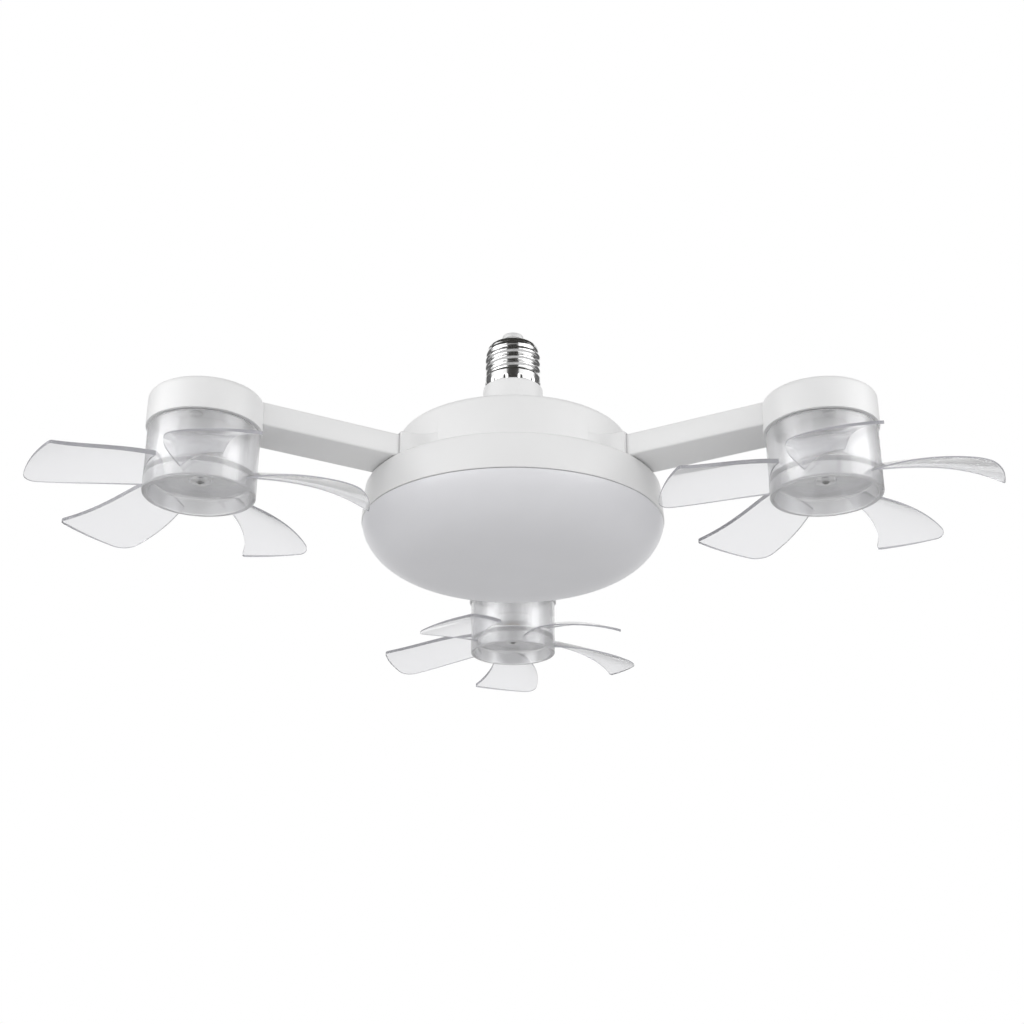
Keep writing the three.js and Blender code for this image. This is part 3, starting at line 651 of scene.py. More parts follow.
# %% Screw cap: thread and dents
THREAD_DEPTH = 0.9
PITCH = 3.62
ROLL_RADIUS = (PITCH**2 / 16 + THREAD_DEPTH**2 / 4) / THREAD_DEPTH
CREST_Z = -19.52
FADE_FOOT_SHARE = 0.3
CRIMP_COUNT = 12
CRIMP_DEPTH = 0.45
CRIMP_HALF_WIDTH = 0.55
CRIMP_HEIGHT = 1.9


def points_of(piece):
    """All points of a piece as a table of x, y and z."""
    spots = np.empty(len(piece.data.vertices) * 3)
    piece.data.vertices.foreach_get("co", spots)
    return spots.reshape(-1, 3)


def set_points(piece, spots):
    """Moves the points of a piece to the places in a table."""
    piece.data.vertices.foreach_set("co", spots.ravel())
    piece.data.update()


def roll_thread(piece):
    """Pushes the outer wall out by a climbing wave and punches the dents round its foot."""
    spots = points_of(piece)
    radius = np.hypot(spots[:, 0], spots[:, 1]) / MM
    height = spots[:, 2] / MM
    turn = np.arctan2(spots[:, 1], spots[:, 0])
    outer = radius > (SHELL_ROOT + SHELL_BORE) / 2
    climb = (height - CREST_Z) / PITCH - turn / math.tau
    off_crest = np.abs((climb + 0.5) % 1 - 0.5) * PITCH
    off_middle = np.minimum(off_crest, PITCH / 2 - off_crest)
    dip = (ROLL_RADIUS - np.sqrt(ROLL_RADIUS**2 - off_middle**2)) / THREAD_DEPTH
    wave = np.where(off_crest < PITCH / 4, 1 - dip, dip)
    top_fade = np.clip((THREAD_TOP_Z - height) / PITCH, 0, 1)
    foot_fade = np.clip((height - THREAD_FOOT_Z) / PITCH + FADE_FOOT_SHARE, 0, 1)
    threaded = outer & (height > THREAD_FOOT_Z - WELD) & (height < THREAD_TOP_Z)
    push = np.where(threaded, THREAD_DEPTH * wave * np.minimum(top_fade, foot_fade), 0)
    spacing = math.tau / CRIMP_COUNT
    off = turn % spacing - spacing / 2
    across = np.exp(-(off * SKIRT_RADIUS / CRIMP_HALF_WIDTH) ** 2)
    upward = np.clip(1 - (height - shell_foot) / CRIMP_HEIGHT, 0, 1) ** 0.5
    push = push - np.where(outer & (height < SKIRT_TOP_Z), CRIMP_DEPTH * across * upward, 0)
    scale = (radius + push) / np.maximum(radius, WELD)
    spots[:, :2] *= scale[:, None]
    set_points(piece, spots)
    return push.max(), push.min()


deepest = roll_thread(shell)
smooth(shell, WIDE_CREASE)
dress(shell, "lamp_body", "screw_shell", "cap_chrome", cap_chrome)
print("thread stands", round(deepest[0], 2), "mm proud, dents", round(deepest[1], 2), "mm deep")

# %% [markdown]
# The lampholder's spring presses on the centre contact, a low tinned dome with a flat top.
# A pale insulator holds it and fills the open top of the shell. Both are plain turned shapes
# with rounded edges, so one spun section each is enough.

# %% Screw cap: insulator and contact
CONTACT_RADIUS = 5.2
CONTACT_FLAT = 4.7
CONTACT_EDGE_SHARE = 0.25
CONTACT_ROUNDING = 0.8
NOSE_RADIUS = 5.6
NOSE_ROUNDING = 0.6

contact_foot = foot_of("centre_contact")
contact = turned(
    "contact_dome",
    [
        (0, contact_foot),
        (CONTACT_RADIUS, contact_foot),
        (CONTACT_RADIUS, contact_foot * CONTACT_EDGE_SHARE, CONTACT_ROUNDING),
        (CONTACT_FLAT, 0, CONTACT_ROUNDING),
        (0, 0),
    ],
    steps=SMALL_STEPS * 2,
)
smooth(contact, WIDE_CREASE)
dress(contact, "lamp_body", "centre_contact", "contact_tin", contact_tin)

nose_top = top_of("cap_insulator")
flange_foot = foot_of("cap_insulator")
flange_top = shell_top - LIP_THICKNESS - GAP
flange_radius = reach_of("cap_insulator")
insulator = turned(
    "insulator_nose",
    [
        (0, flange_foot),
        (flange_radius, flange_foot, SOFT_EDGE),
        (flange_radius, flange_top, SOFT_EDGE),
        (NOSE_RADIUS, flange_top),
        (NOSE_RADIUS, nose_top, NOSE_ROUNDING),
        (0, nose_top),
    ],
    steps=SMALL_STEPS * 2,
)
smooth(insulator)
dress(insulator, "lamp_body", "cap_insulator", "insulator", pale_insulator)
print("contact:", len(contact.data.polygons), "faces")
print("insulator:", len(insulator.data.polygons), "faces")

# %% [markdown]
# Neck and drum are one white moulding. Its section is drawn once, outside and inside, and spun.

# %% Upper housing: neck and drum in one moulding
DRUM_RADIUS = 53.9
DRUM_TOP_Z = -57.2
DRUM_WALL = 2.2
DRUM_ROOF = 1.0
DRUM_FILLET = 3.0
NECK_TOP_RADIUS = 14.2
NECK_FOOT_RADIUS = 15.2
NECK_FILLET = 2.5
NECK_BORE = 8.5
SPIGOT_RADIUS = 11.2

drum_foot = foot_of("upper_housing")
spigot_top = top_of("upper_housing")
neck_top = shell_foot - GAP
roof = DRUM_TOP_Z - DRUM_ROOF
housing = turned(
    "upper_housing_skin",
    [
        (NECK_BORE, spigot_top),
        (SPIGOT_RADIUS, spigot_top, SOFT_EDGE),
        (SPIGOT_RADIUS, neck_top),
        (NECK_TOP_RADIUS, neck_top, SOFT_EDGE * 2),
        (NECK_FOOT_RADIUS, DRUM_TOP_Z, NECK_FILLET),
        (DRUM_RADIUS, DRUM_TOP_Z, DRUM_FILLET),
        (DRUM_RADIUS, drum_foot, SOFT_EDGE),
        (DRUM_RADIUS - DRUM_WALL, drum_foot, SOFT_EDGE),
        (DRUM_RADIUS - DRUM_WALL, roof, DRUM_FILLET - DRUM_WALL / 2),
        (NECK_BORE, roof, SOFT_EDGE),
    ],
    rounding_steps=6,
    closed=True,
)
print("neck and drum:", len(housing.data.polygons), "faces")

# %% [markdown]
# The arms enter the drum through three short sockets that are open at the foot. Each one flares
# out of the drum's side, so its outline is drawn from above with two large hollow curves, pulled
# up to a block and joined to the wall. A box a little larger than the arm is then cut out of it.

# %% Upper housing: root sockets
ARM_HALF_WIDTH = 11.6
ROOT_REACH = 64.3
ROOT_WALL = 1.5
ROOT_FLARE = 12.0
ROOT_ROOF = 0.7
ROOT_EDGE = 0.5

arm_top = top_of("arm_back")
arm_foot = foot_of("arm_back")
entry_half = ARM_HALF_WIDTH + GAP
root_half = entry_half + ROOT_WALL
flare_y = root_half + ROOT_FLARE
flare_x = math.sqrt((DRUM_RADIUS + ROOT_FLARE) ** 2 - flare_y**2)
flare_turn = math.degrees(math.atan2(flare_y, flare_x))
half_outline = [(ROOT_REACH, root_half)]
half_outline += arc((flare_x, flare_y), ROOT_FLARE, -90, flare_turn - 180)
inner_arc = arc((0, 0), DRUM_RADIUS - DRUM_WALL / 2, flare_turn, -flare_turn)
mirrored = [(x, -y) for x, y in reversed(half_outline)]
root_outline = half_outline + inner_arc + mirrored
for angle in SIDES.values():
    root = prism("root_socket", root_outline, drum_foot, arm_top + GAP + ROOT_ROOF)
    soften(root, ROOT_EDGE, segments=3)
    root.data.transform(Matrix.Rotation(angle, 4, "Z"))
    combine(housing, root, "UNION")
    notch = cube(
        "notch",
        (DRUM_RADIUS / 2, -entry_half, drum_foot - OVERCUT),
        (ROOT_REACH + OVERCUT, entry_half, arm_top + GAP),
    )
    notch.data.transform(Matrix.Rotation(angle, 4, "Z"))
    combine(housing, notch, "DIFFERENCE")
smooth(housing)
dress(housing, "lamp_body", "upper_housing", "white_plastic", white_plastic)
print("upper housing:", len(housing.data.polygons), "faces")

# %% [markdown]
# The trim ring closes the drum from below and frames the bowl. Its side flares a little, so that
# it leaves its mould.

# %% Trim ring
TRIM_TOP_RADIUS = 68.3
TRIM_FOOT_RADIUS = 69.45
TRIM_WALL = 2.2
TRIM_OPENING = 34.0

trim_top = top_of("trim_ring")
trim_foot = foot_of("trim_ring")
trim = turned(
    "trim_ring_skin",
    [
        (TRIM_OPENING, trim_top - TRIM_WALL, SOFT_EDGE),
        (TRIM_OPENING, trim_top, SOFT_EDGE),
        (TRIM_TOP_RADIUS, trim_top, SOFT_EDGE * 4),
        (TRIM_FOOT_RADIUS, trim_foot, SOFT_EDGE),
        (TRIM_FOOT_RADIUS - TRIM_WALL, trim_foot, SOFT_EDGE),
        (TRIM_TOP_RADIUS - TRIM_WALL, trim_top - TRIM_WALL, SOFT_EDGE),
    ],
    closed=True,
)
smooth(trim)
dress(trim, "lamp_body", "trim_ring", "white_plastic", white_plastic)
print("trim foot", round(trim_foot, 2), "mm")

# %% [markdown]
# The bowl is deep, with nearly upright sides and an almost flat floor. That outline is a
# superellipse, whose two powers set how square the side and the floor are.

# %% Opal bowl
BOWL_RADIUS = 69.0
BOWL_DEPTH = 22.7
BOWL_WALL = 1.8
SIDE_POWER = 4.5
FLOOR_POWER = 1.6
COLLAR_RADIUS = 66.6
COLLAR_HEIGHT = 5.5
BOWL_STEPS = 28


def bowl_line(radius, depth, rim):
    """Half the bowl's outline from its rim to the middle of its floor."""
    points = []
    for i in range(BOWL_STEPS + 1):
        angle = math.pi / 2 * i / BOWL_STEPS
        out = radius * max(0, math.cos(angle)) ** (2 / SIDE_POWER)
        points.append((out, rim - depth * math.sin(angle) ** (2 / FLOOR_POWER)))
    points[-1] = (0, rim - depth)
    return points


rim = trim_foot - GAP
bowl_outline = bowl_line(COLLAR_RADIUS - BOWL_WALL, BOWL_DEPTH - BOWL_WALL, rim)[::-1]
bowl_outline += [
    (COLLAR_RADIUS - BOWL_WALL, rim + COLLAR_HEIGHT),
    (COLLAR_RADIUS, rim + COLLAR_HEIGHT),
    (COLLAR_RADIUS, rim),
]
bowl_outline += bowl_line(BOWL_RADIUS, BOWL_DEPTH, rim)
bowl = spun("opal_bowl", bowl_outline)
smooth(bowl)
dress(bowl, "lamp_body", "diffuser", "opal", opal_plastic)
print("bowl:", len(bowl.data.polygons), "faces")

# %% [markdown]
# Each arm is a rectangular tube of white plastic. One is made along +X: a box whose two end
# faces are inset by the wall and bridged, which leaves the hollow for the lead. Then its long
# edges are rounded, and three copies are turned to their places.

# %% Arms
ARM_INNER = 39.5
ARM_OUTER = 128.9
ARM_WALL = 1.8
ARM_ROUNDING = 0.9
ENDWAYS = 0.9

arm_low = (ARM_INNER, -ARM_HALF_WIDTH, arm_foot)
arm_high = (ARM_OUTER, ARM_HALF_WIDTH, arm_top)
arm = cube("arm_pattern", arm_low, arm_high)
pick_faces(arm, lambda face: abs(face.normal.x) > ENDWAYS)
bpy.ops.mesh.inset(thickness=ARM_WALL * MM)
bpy.ops.mesh.bridge_edge_loops()
bpy.ops.object.mode_set(mode="OBJECT")
soften(arm, ARM_ROUNDING, segments=3)
smooth(arm, MOULDED_CREASE)
for side, angle in SIDES.items():
    tube = copy_of(arm, f"arm_skin_{side}", angle)
    dress(tube, "lamp_body", f"arm_{side}", "white_plastic", white_plastic)
print("arm pattern:", len(arm.data.polygons), "faces")
discard(arm)

# %% [markdown]
# A motor housing is a round cap, open below, with a rounded top edge. The arm slides into a
# window in its side. The cap is spun hollow in one go, and the window is cut with a box.

# %% Motor housings
CAP_RADIUS = 24.0
CAP_WALL = 2.0
CAP_FILLET = 3.0
ARM_END_GAP = 19.3

cap_top = top_of("motor_housing_back")
cap_foot = foot_of("motor_housing_back")
cap_roof = cap_top - CAP_WALL
cover = turned(
    "motor_housing_pattern",
    [
        (0, cap_top),
        (CAP_RADIUS, cap_top, CAP_FILLET),
        (CAP_RADIUS, cap_foot, SOFT_EDGE / 2),
        (CAP_RADIUS - CAP_WALL, cap_foot, SOFT_EDGE / 2),
        (CAP_RADIUS - CAP_WALL, cap_roof, CAP_FILLET - CAP_WALL),
        (0, cap_roof),
    ],
    rounding_steps=6,
)
window_low = (-CAP_RADIUS - OVERCUT, -entry_half, arm_foot - GAP)
window_high = (-ARM_END_GAP, entry_half, arm_top + GAP)
combine(cover, cube("window", window_low, window_high), "DIFFERENCE")
smooth(cover)
for side, angle in SIDES.items():
    under_arm(cover, "motor_housing", side, "white_plastic", white_plastic, turn=angle)
print("motor housing:", len(cover.data.polygons), "faces")
discard(cover)

# %% [markdown]
# Looking up through the clear cup one sees the motor: a round steel can, the pale plate that
# holds it, a bronze bearing, the shaft and three screws. All are turned shapes. The can gets a
# rolled groove, as real cans have where their end cap is crimped on.

# %% Motor: plate
PLATE_RADIUS = 21.7
PLATE_BORE = 10.6
PLATE_LIP = 2.0
PLATE_THICKNESS = 1.8

plate_foot = foot_of("motor_plate_back")
plate_top = plate_foot + PLATE_THICKNESS
lip_top = top_of("motor_plate_back")
plate = turned(
    "motor_plate_pattern",
    [
        (PLATE_BORE, plate_foot, SOFT_EDGE),
        (PLATE_RADIUS, plate_foot, SOFT_EDGE),
        (PLATE_RADIUS, plate_top, SOFT_EDGE),
        (PLATE_BORE + PLATE_LIP, plate_top, SOFT_EDGE),
        (PLATE_BORE + PLATE_LIP, lip_top, SOFT_EDGE),
        (PLATE_BORE, lip_top, SOFT_EDGE),
    ],
    closed=True,
)
smooth(plate)
print("motor plate:", len(plate.data.polygons), "faces")

# %% [markdown]
# The can's underside has a seat for the bearing, and a bore in which the shaft ends. Its rolled
# groove is a shallow dip with soft flanks.

# %% Motor: can
CAN_RADIUS = 10.3
CAN_EDGE = 1.0
CAN_GROOVE = 0.5
CAN_GROOVE_HEIGHT = 4.0
CAN_GROOVE_HALF = 1.0
CAN_GROOVE_ROUNDING = 0.3
CAN_SEAT_DEPTH = 2.0
CAN_BORE_DEPTH = 7.7
BEARING_RADIUS = 4.0
SHAFT_RADIUS = 1.0

can_top = top_of("motor_can_back")
can_foot = foot_of("motor_can_back")
groove = can_foot + CAN_GROOVE_HEIGHT
groove_radius = CAN_RADIUS - CAN_GROOVE
can = turned(
    "motor_can_pattern",
    [
        (0, can_top),
        (CAN_RADIUS, can_top, CAN_EDGE),
        (CAN_RADIUS, groove + CAN_GROOVE_HALF),
        (groove_radius, groove + CAN_GROOVE_HALF / 2, CAN_GROOVE_ROUNDING),
        (groove_radius, groove - CAN_GROOVE_HALF / 2, CAN_GROOVE_ROUNDING),
        (CAN_RADIUS, groove - CAN_GROOVE_HALF),
        (CAN_RADIUS, can_foot, CAN_EDGE),
        (BEARING_RADIUS + GAP, can_foot, SOFT_EDGE),
        (BEARING_RADIUS + GAP, can_foot + CAN_SEAT_DEPTH),
        (SHAFT_RADIUS + GAP, can_foot + CAN_SEAT_DEPTH),
        (SHAFT_RADIUS + GAP, can_foot + CAN_BORE_DEPTH),
        (0, can_foot + CAN_BORE_DEPTH),
    ],
    steps=SMALL_STEPS * 2,
)
smooth(can)
print("motor can:", len(can.data.polygons), "faces")

# %% [markdown]
# The bearing is a small bronze bush and the shaft a plain steel pin. The four patterns are then
# copied under the three arms. The shaft turns with the fan, so it rides on the rotor, and the
# rest of the motor rides on the lamp.

# %% Motor: bearing, shaft and the copies
bearing_foot = foot_of("motor_bearing_back")
bearing_top = top_of("motor_bearing_back")
bearing = turned(
    "motor_bearing_pattern",
    [
        (SHAFT_RADIUS + GAP, bearing_foot, SOFT_EDGE / 2),
        (BEARING_RADIUS, bearing_foot, SOFT_EDGE),
        (BEARING_RADIUS, bearing_top, SOFT_EDGE / 2),
        (SHAFT_RADIUS + GAP, bearing_top, SOFT_EDGE / 2),
    ],
    closed=True,
    steps=SMALL_STEPS,
)
smooth(bearing)

shaft_foot = foot_of("motor_shaft_back")
shaft_top = top_of("motor_shaft_back")
shaft = turned(
    "motor_shaft_pattern",
    [
        (0, shaft_foot),
        (SHAFT_RADIUS, shaft_foot, SOFT_EDGE),
        (SHAFT_RADIUS, shaft_top, SOFT_EDGE),
        (0, shaft_top),
    ],
    steps=SMALL_STEPS,
)
smooth(shaft)
for side in SIDES:
    under_arm(plate, "motor_plate", side, "board_white", plate_white)
    under_arm(can, "motor_can", side, "steel", pale_zinc)
    under_arm(bearing, "motor_bearing", side, "bronze", sintered_bronze)
    under_arm(shaft, "motor_shaft", side, "steel", zinc_steel, body=f"rotor_{side}")
for pattern in (plate, can, bearing, shaft):
    discard(pattern)
print("motors dressed")

# %% [markdown]
# All the screws are of one kind: a domed pan head with a crossed recess and a plain shank. One
# pattern for each length is enough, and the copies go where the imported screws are. Nobody stops
# every screw at the same turn, so each copy is turned a little further than the last.

# %% Pan-head screws
SCREW_RADIUS = 1.45
HEAD_RADIUS = 2.8
HEAD_HEIGHT = 1.6
HEAD_DOME = 0.05
DOME_ROUNDING = 1.0
HEAD_ROUNDING = 0.8
SEAT_ROUNDING = 0.2
TIP_ROUNDING = 0.5
RECESS_DEPTH = 0.9
RECESS_HALF_LENGTH = 1.5
RECESS_HALF_WIDTH = 0.3
SCREW_TURN = 0.7


def pan_screw(name, foot, top):
    """A screw on the origin's axis, head down, from the foot of its head to its tip."""
    base = foot + HEAD_HEIGHT
    outline = [
        (0, foot),
        (HEAD_RADIUS / 2, foot + HEAD_DOME, DOME_ROUNDING),
        (HEAD_RADIUS, foot + HEAD_HEIGHT / 2, HEAD_ROUNDING),
        (HEAD_RADIUS, base, SEAT_ROUNDING),
        (SCREW_RADIUS, base),
        (SCREW_RADIUS, top, TIP_ROUNDING),
        (0, top),
    ]
    piece = turned(name, outline, steps=SMALL_STEPS)
    along_x = (RECESS_HALF_LENGTH, RECESS_HALF_WIDTH)
    cross_top = foot + RECESS_DEPTH
    for half_x, half_y in (along_x, along_x[::-1]):
        slot = cube("recess", (-half_x, -half_y, foot - OVERCUT), (half_x, half_y, cross_top))
        combine(piece, slot, "DIFFERENCE")
    return smooth(piece)


screw_rows = {
    "motor_screw": [f"motor_screw_{side}_{i}" for side in SIDES for i in (1, 2, 3)],
    "arm_screw": [f"arm_screw_{side}" for side in SIDES],
    "board_screw": [f"board_screw_{side}" for side in SIDES],
    "housing_screw": [f"housing_screw_{side}" for side in SIDES],
}
for kind, names in screw_rows.items():
    pattern = pan_screw(f"{kind}_pattern", foot_of(names[0]), top_of(names[0]))
    for index, name in enumerate(names):
        low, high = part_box(name)
        middle = (low + high) / 2 / MM
        made = copy_of(pattern, f"{name}_skin", index * SCREW_TURN, (middle.x, middle.y, 0))
        dress(made, "lamp_body", name, "steel", zinc_steel)
    discard(pattern)
print("screws:", sum(len(names) for names in screw_rows.values()))

# %% [markdown]
# The impeller is one clear moulding: a cup, a web that closes it a little above its foot, a boss
# for the shaft, and five blades. The cup is a spun section with rounded rims. A blade starts as
# a flat slab of small squares. Each of its points is then set on the real surface: the two edges
# sweep back along curves, the height falls towards the tip and the trailing edge, the middle is
# cambered, and the thickness falls towards the trailing edge and towards the tip.

# %% Impeller: measures of a blade
CUP_RADIUS = 23.1
CUP_DROP = 0.6
CUP_HEIGHT = 28.6
TIP_RADIUS = 70.0
TRAILING_TIP_LOSS = 1.1
ROOT_INSET = 1.5
LEADING_THICKNESS = 2.1
TRAILING_THICKNESS = 0.8
TIP_THICKNESS_SHARE = 0.68
CHORD_STEPS = 28
SPAN_STEPS = 28
TRAILING_ANGLES = (-2.6, 2.8, 8.2)
LEADING_ANGLES = (38.6, -23.9, 22.4)
TRAILING_HEIGHTS = (3.6, -1.5, -5.7)
LEADING_HEIGHTS = (11.2, -3.8, -7.2)
CAMBER = 1.5
CAMBER_TIP_SHARE = 0.1
TRAILING_CORNER = (0.17, 5.5)
LEADING_CORNER = (0.05, 1.2)

cup_top = cap_foot - CUP_DROP
cup_foot = cup_top - CUP_HEIGHT
print("blade reaches from", CUP_RADIUS, "to", TIP_RADIUS, "mm")

# %% [markdown]
# Each curve of the blade is given by three terms: its value at the root, and how it changes with
# the share of the blade's length and with that share's square. A rounded tip corner is a quarter
# of an ellipse that takes something off the radius.

# %% Impeller: one blade


def along(terms, share):
    """A value that starts at the root and changes with the share of the blade's length."""
    return terms[0] + terms[1] * share + terms[2] * share * share


def corner_loss(share, corner):
    """How much a rounded tip corner takes off the radius."""
    width, size = corner
    inside = np.clip(share / width, 0, 1)
    return size * (1 - np.sqrt(np.clip(1 - (1 - inside) ** 2, 0, 1)))


def shape_blade(piece):
    """Sets each point of a unit slab, X from trailing to leading edge, Y from root to tip."""
    spots = points_of(piece)
    across = spots[:, 0] + 0.5
    chord = (1 - np.cos(across * math.pi)) / 2
    span = spots[:, 1] + 0.5
    tip = TIP_RADIUS - TRAILING_TIP_LOSS * (1 - chord)
    tip = tip - corner_loss(chord, TRAILING_CORNER) - corner_loss(1 - chord, LEADING_CORNER)
    root = CUP_RADIUS - ROOT_INSET
    radius = root + (tip - root) * span
    share = (radius - CUP_RADIUS) / (TIP_RADIUS - CUP_RADIUS)
    low = along(TRAILING_HEIGHTS, share)
    high = along(LEADING_HEIGHTS, share)
    start = along(TRAILING_ANGLES, share)
    turn = np.radians(start + (along(LEADING_ANGLES, share) - start) * chord)
    bulge = CAMBER * (1 - (1 - CAMBER_TIP_SHARE) * share) * 4 * chord * (1 - chord)
    thickness = TRAILING_THICKNESS + (LEADING_THICKNESS - TRAILING_THICKNESS) * chord
    thickness = thickness * (1 - (1 - TIP_THICKNESS_SHARE) * np.clip(share, 0, 1))
    spots[:, 0] = radius * np.cos(turn)
    spots[:, 1] = radius * np.sin(turn)
    spots[:, 2] = cup_foot + low + (high - low) * chord + bulge + spots[:, 2] * thickness
    set_points(piece, spots * MM)


let_go()
bpy.ops.mesh.primitive_grid_add(x_subdivisions=CHORD_STEPS, y_subdivisions=SPAN_STEPS, size=1)
blade = bpy.context.object
blade.name = "blade_pattern"
add_finishes(blade, impeller_finishes)
for face in blade.data.polygons:
    face.material_index = impeller_finishes.index(blade_clear)
pick(blade)
slab = blade.modifiers.new("slab", "SOLIDIFY")
slab.thickness = 1.0
slab.offset = 0
# The narrow sides take the next finish, whose greyer colour is painted shade.
slab.material_offset_rim = 1
bpy.ops.object.modifier_apply(modifier=slab.name)
shape_blade(blade)
face_outward(blade)
print("blade:", len(blade.data.polygons), "faces")

# %% [markdown]
# The five blades are joined to the cup as one closed body, because light has to pass from one
# into the other without meeting a hidden wall. The blade's narrow sides keep their own greyer
# finish, which is painted shade. The faces of the recess under the web are found by their place
# and get the darker finish that paints shade and a dull reflection there.

# %% Impeller: cup, web and boss, joined with the blades
CUP_INNER = 20.9
CUP_FILLET = 1.0
CUP_RIM_ROUNDING = 0.7
WEB_RECESS = 7.0
WEB_THICKNESS = 2.0
STEM_RADIUS = 3.8
STEM_HEIGHT = 4.0
HUB_RADIUS = 4.6
HUB_HEIGHT = 1.0
COUNTERBORE = 1.45
HUB_BORE = 1.3
SCREW_SEAT = 1.0
RECESS_MARGIN = 0.1
RECESS_EDGE = 0.5
BLADE_COUNT = 5
IMPELLER_ANGLES = {"left": 192.2, "right": 167.5, "back": 215.7}

web_foot = cup_foot + WEB_RECESS
web_top = web_foot + WEB_THICKNESS
hub_foot = web_foot - HUB_HEIGHT
impeller = turned(
    "impeller_pattern",
    [
        (HUB_BORE, web_top + STEM_HEIGHT),
        (STEM_RADIUS, web_top + STEM_HEIGHT, SOFT_EDGE),
        (STEM_RADIUS, web_top, SOFT_EDGE),
        (CUP_INNER, web_top, CUP_FILLET),
        (CUP_INNER, cup_top, SOFT_EDGE),
        (CUP_RADIUS, cup_top, SOFT_EDGE),
        (CUP_RADIUS, cup_foot, CUP_RIM_ROUNDING),
        (CUP_INNER, cup_foot, SOFT_EDGE),
        (CUP_INNER, web_foot, CUP_FILLET),
        (HUB_RADIUS, web_foot, SOFT_EDGE),
        (HUB_RADIUS - SOFT_EDGE, hub_foot, SOFT_EDGE),
        (COUNTERBORE, hub_foot, SOFT_EDGE / 2),
        (COUNTERBORE, hub_foot + SCREW_SEAT),
        (HUB_BORE, hub_foot + SCREW_SEAT),
    ],
    rounding_steps=3,
    closed=True,
)
add_finishes(impeller, impeller_finishes)
# The recess faces get the darker finish, which paints shade and a dull reflection there.
recess_radius = (CUP_INNER + RECESS_MARGIN) * MM
recess_foot = (cup_foot + RECESS_EDGE) * MM
recess_top = (web_foot + RECESS_EDGE) * MM
for face in impeller.data.polygons:
    middle = face.center
    inside = math.hypot(middle.x, middle.y) < recess_radius
    if inside and recess_foot < middle.z < recess_top:
        face.material_index = impeller_finishes.index(recess_painted_shade)
for i in range(BLADE_COUNT):
    one = copy_of(blade, f"blade_{i}", math.tau * i / BLADE_COUNT)
    combine(impeller, one, "UNION")
discard(blade)
smooth(impeller, MOULDED_CREASE)
for side in SIDES:
    turn = math.radians(IMPELLER_ANGLES[side])
    under_arm(impeller, "impeller", side, "clear_plastic", body=f"rotor_{side}", turn=turn)
print("impeller:", len(impeller.data.polygons), "faces,", len(impeller.data.materials), "finishes")
discard(impeller)

# %% [markdown]
# A small blackened socket screw closes the boss under the shaft. From below it is the dark round
# spot in the middle of the web.

# %% Hub screws
HUB_HEAD = 1.2
HUB_HEAD_HEIGHT = 1.0
HUB_SOCKET = 0.6
HUB_SOCKET_DEPTH = 0.5
HUB_SOCKET_ROUNDING = 0.15
HUB_SHANK = 0.7

screw_foot = foot_of("hub_screw_back")
screw_top = top_of("hub_screw_back")
hub_screw = turned(
    "hub_screw_pattern",
    [
        (0, screw_foot + HUB_SOCKET_DEPTH),
        (HUB_SOCKET, screw_foot + HUB_SOCKET_DEPTH),
        (HUB_SOCKET, screw_foot, HUB_SOCKET_ROUNDING),
        (HUB_HEAD, screw_foot, SOFT_EDGE / 2),
        (HUB_HEAD, screw_foot + HUB_HEAD_HEIGHT),
        (HUB_SHANK, screw_foot + HUB_HEAD_HEIGHT),
        (HUB_SHANK, screw_top),
        (0, screw_top),
    ],
    steps=SMALL_STEPS,
)
smooth(hub_screw)
for side in SIDES:
    under_arm(hub_screw, "hub_screw", side, "dark_steel", dark_steel, body=f"rotor_{side}")
discard(hub_screw)
print("hub screws:", len(SIDES))

# %% [markdown]
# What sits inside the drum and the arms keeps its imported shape. It still gets real finishes,
# because it shows when someone opens the lamp.

# %% Inner pieces
inner_finishes = {
    "heat_dish": satin_aluminium,
    "led_board": board_white,
    "driver_board": circuit_green,
    "transformer": winding_tape,
    "capacitor": dark_sleeve,
    "terminal_block": terminal_grey,
    "contact_lead": lead_sleeve,
}
for side in SIDES:
    inner_finishes[f"motor_lead_{side}"] = lead_sleeve
for name, material in inner_finishes.items():
    paint(name, material)
print("inner pieces:", len(inner_finishes))

# %% [markdown]
# The studio is in metres. The world gives soft light from everywhere, but behind the lamp, in
# metal and through clear plastic it is seen as plain white. The kind of ray decides which of
# the two it is.

# %% Studio: world
WORLD_LIGHT = 0.58
WHITE = 1.0

scene = bpy.context.scene
world = bpy.data.worlds.new("studio_world")
scene.world = world
world.use_nodes = True
tree = world.node_tree
tree.nodes.clear()
light_path = tree.nodes.new("ShaderNodeLightPath")
soft = tree.nodes.new("ShaderNodeBackground")
soft.inputs["Strength"].default_value = WORLD_LIGHT
seen = tree.nodes.new("ShaderNodeBackground")
seen.inputs["Strength"].default_value = WHITE
for background in (soft, seen):
    background.inputs["Color"].default_value = (1, 1, 1, 1)
either = node_in(tree, "ShaderNodeMath", operation="MAXIMUM")
any_of_three = node_in(tree, "ShaderNodeMath", operation="MAXIMUM")
choice = tree.nodes.new("ShaderNodeMixShader")
world_out = tree.nodes.new("ShaderNodeOutputWorld")
wire(
    tree,
    (light_path, "Is Camera Ray", either, 0),
    (light_path, "Is Glossy Ray", either, 1),
    (either, "Value", any_of_three, 0),
    (light_path, "Is Transmission Ray", any_of_three, 1),
    (any_of_three, "Value", choice, "Fac"),
    (soft, "Background", choice, 1),
    (seen, "Background", choice, 2),
    (choice, "Shader", world_out, "Surface"),
)

print("world:", len(tree.nodes), "nodes")

# %% [markdown]
# A pale floor lies below the lamp and keeps its shadow. Four wide soft lamps stand at the sides
# and in front. The front left one is the stronger of its pair, so the right side is a little
# darker, as one window would leave it.

# %% Studio: floor and lamps
FLOOR_Z = -0.62
FLOOR_SIZE = 12.0

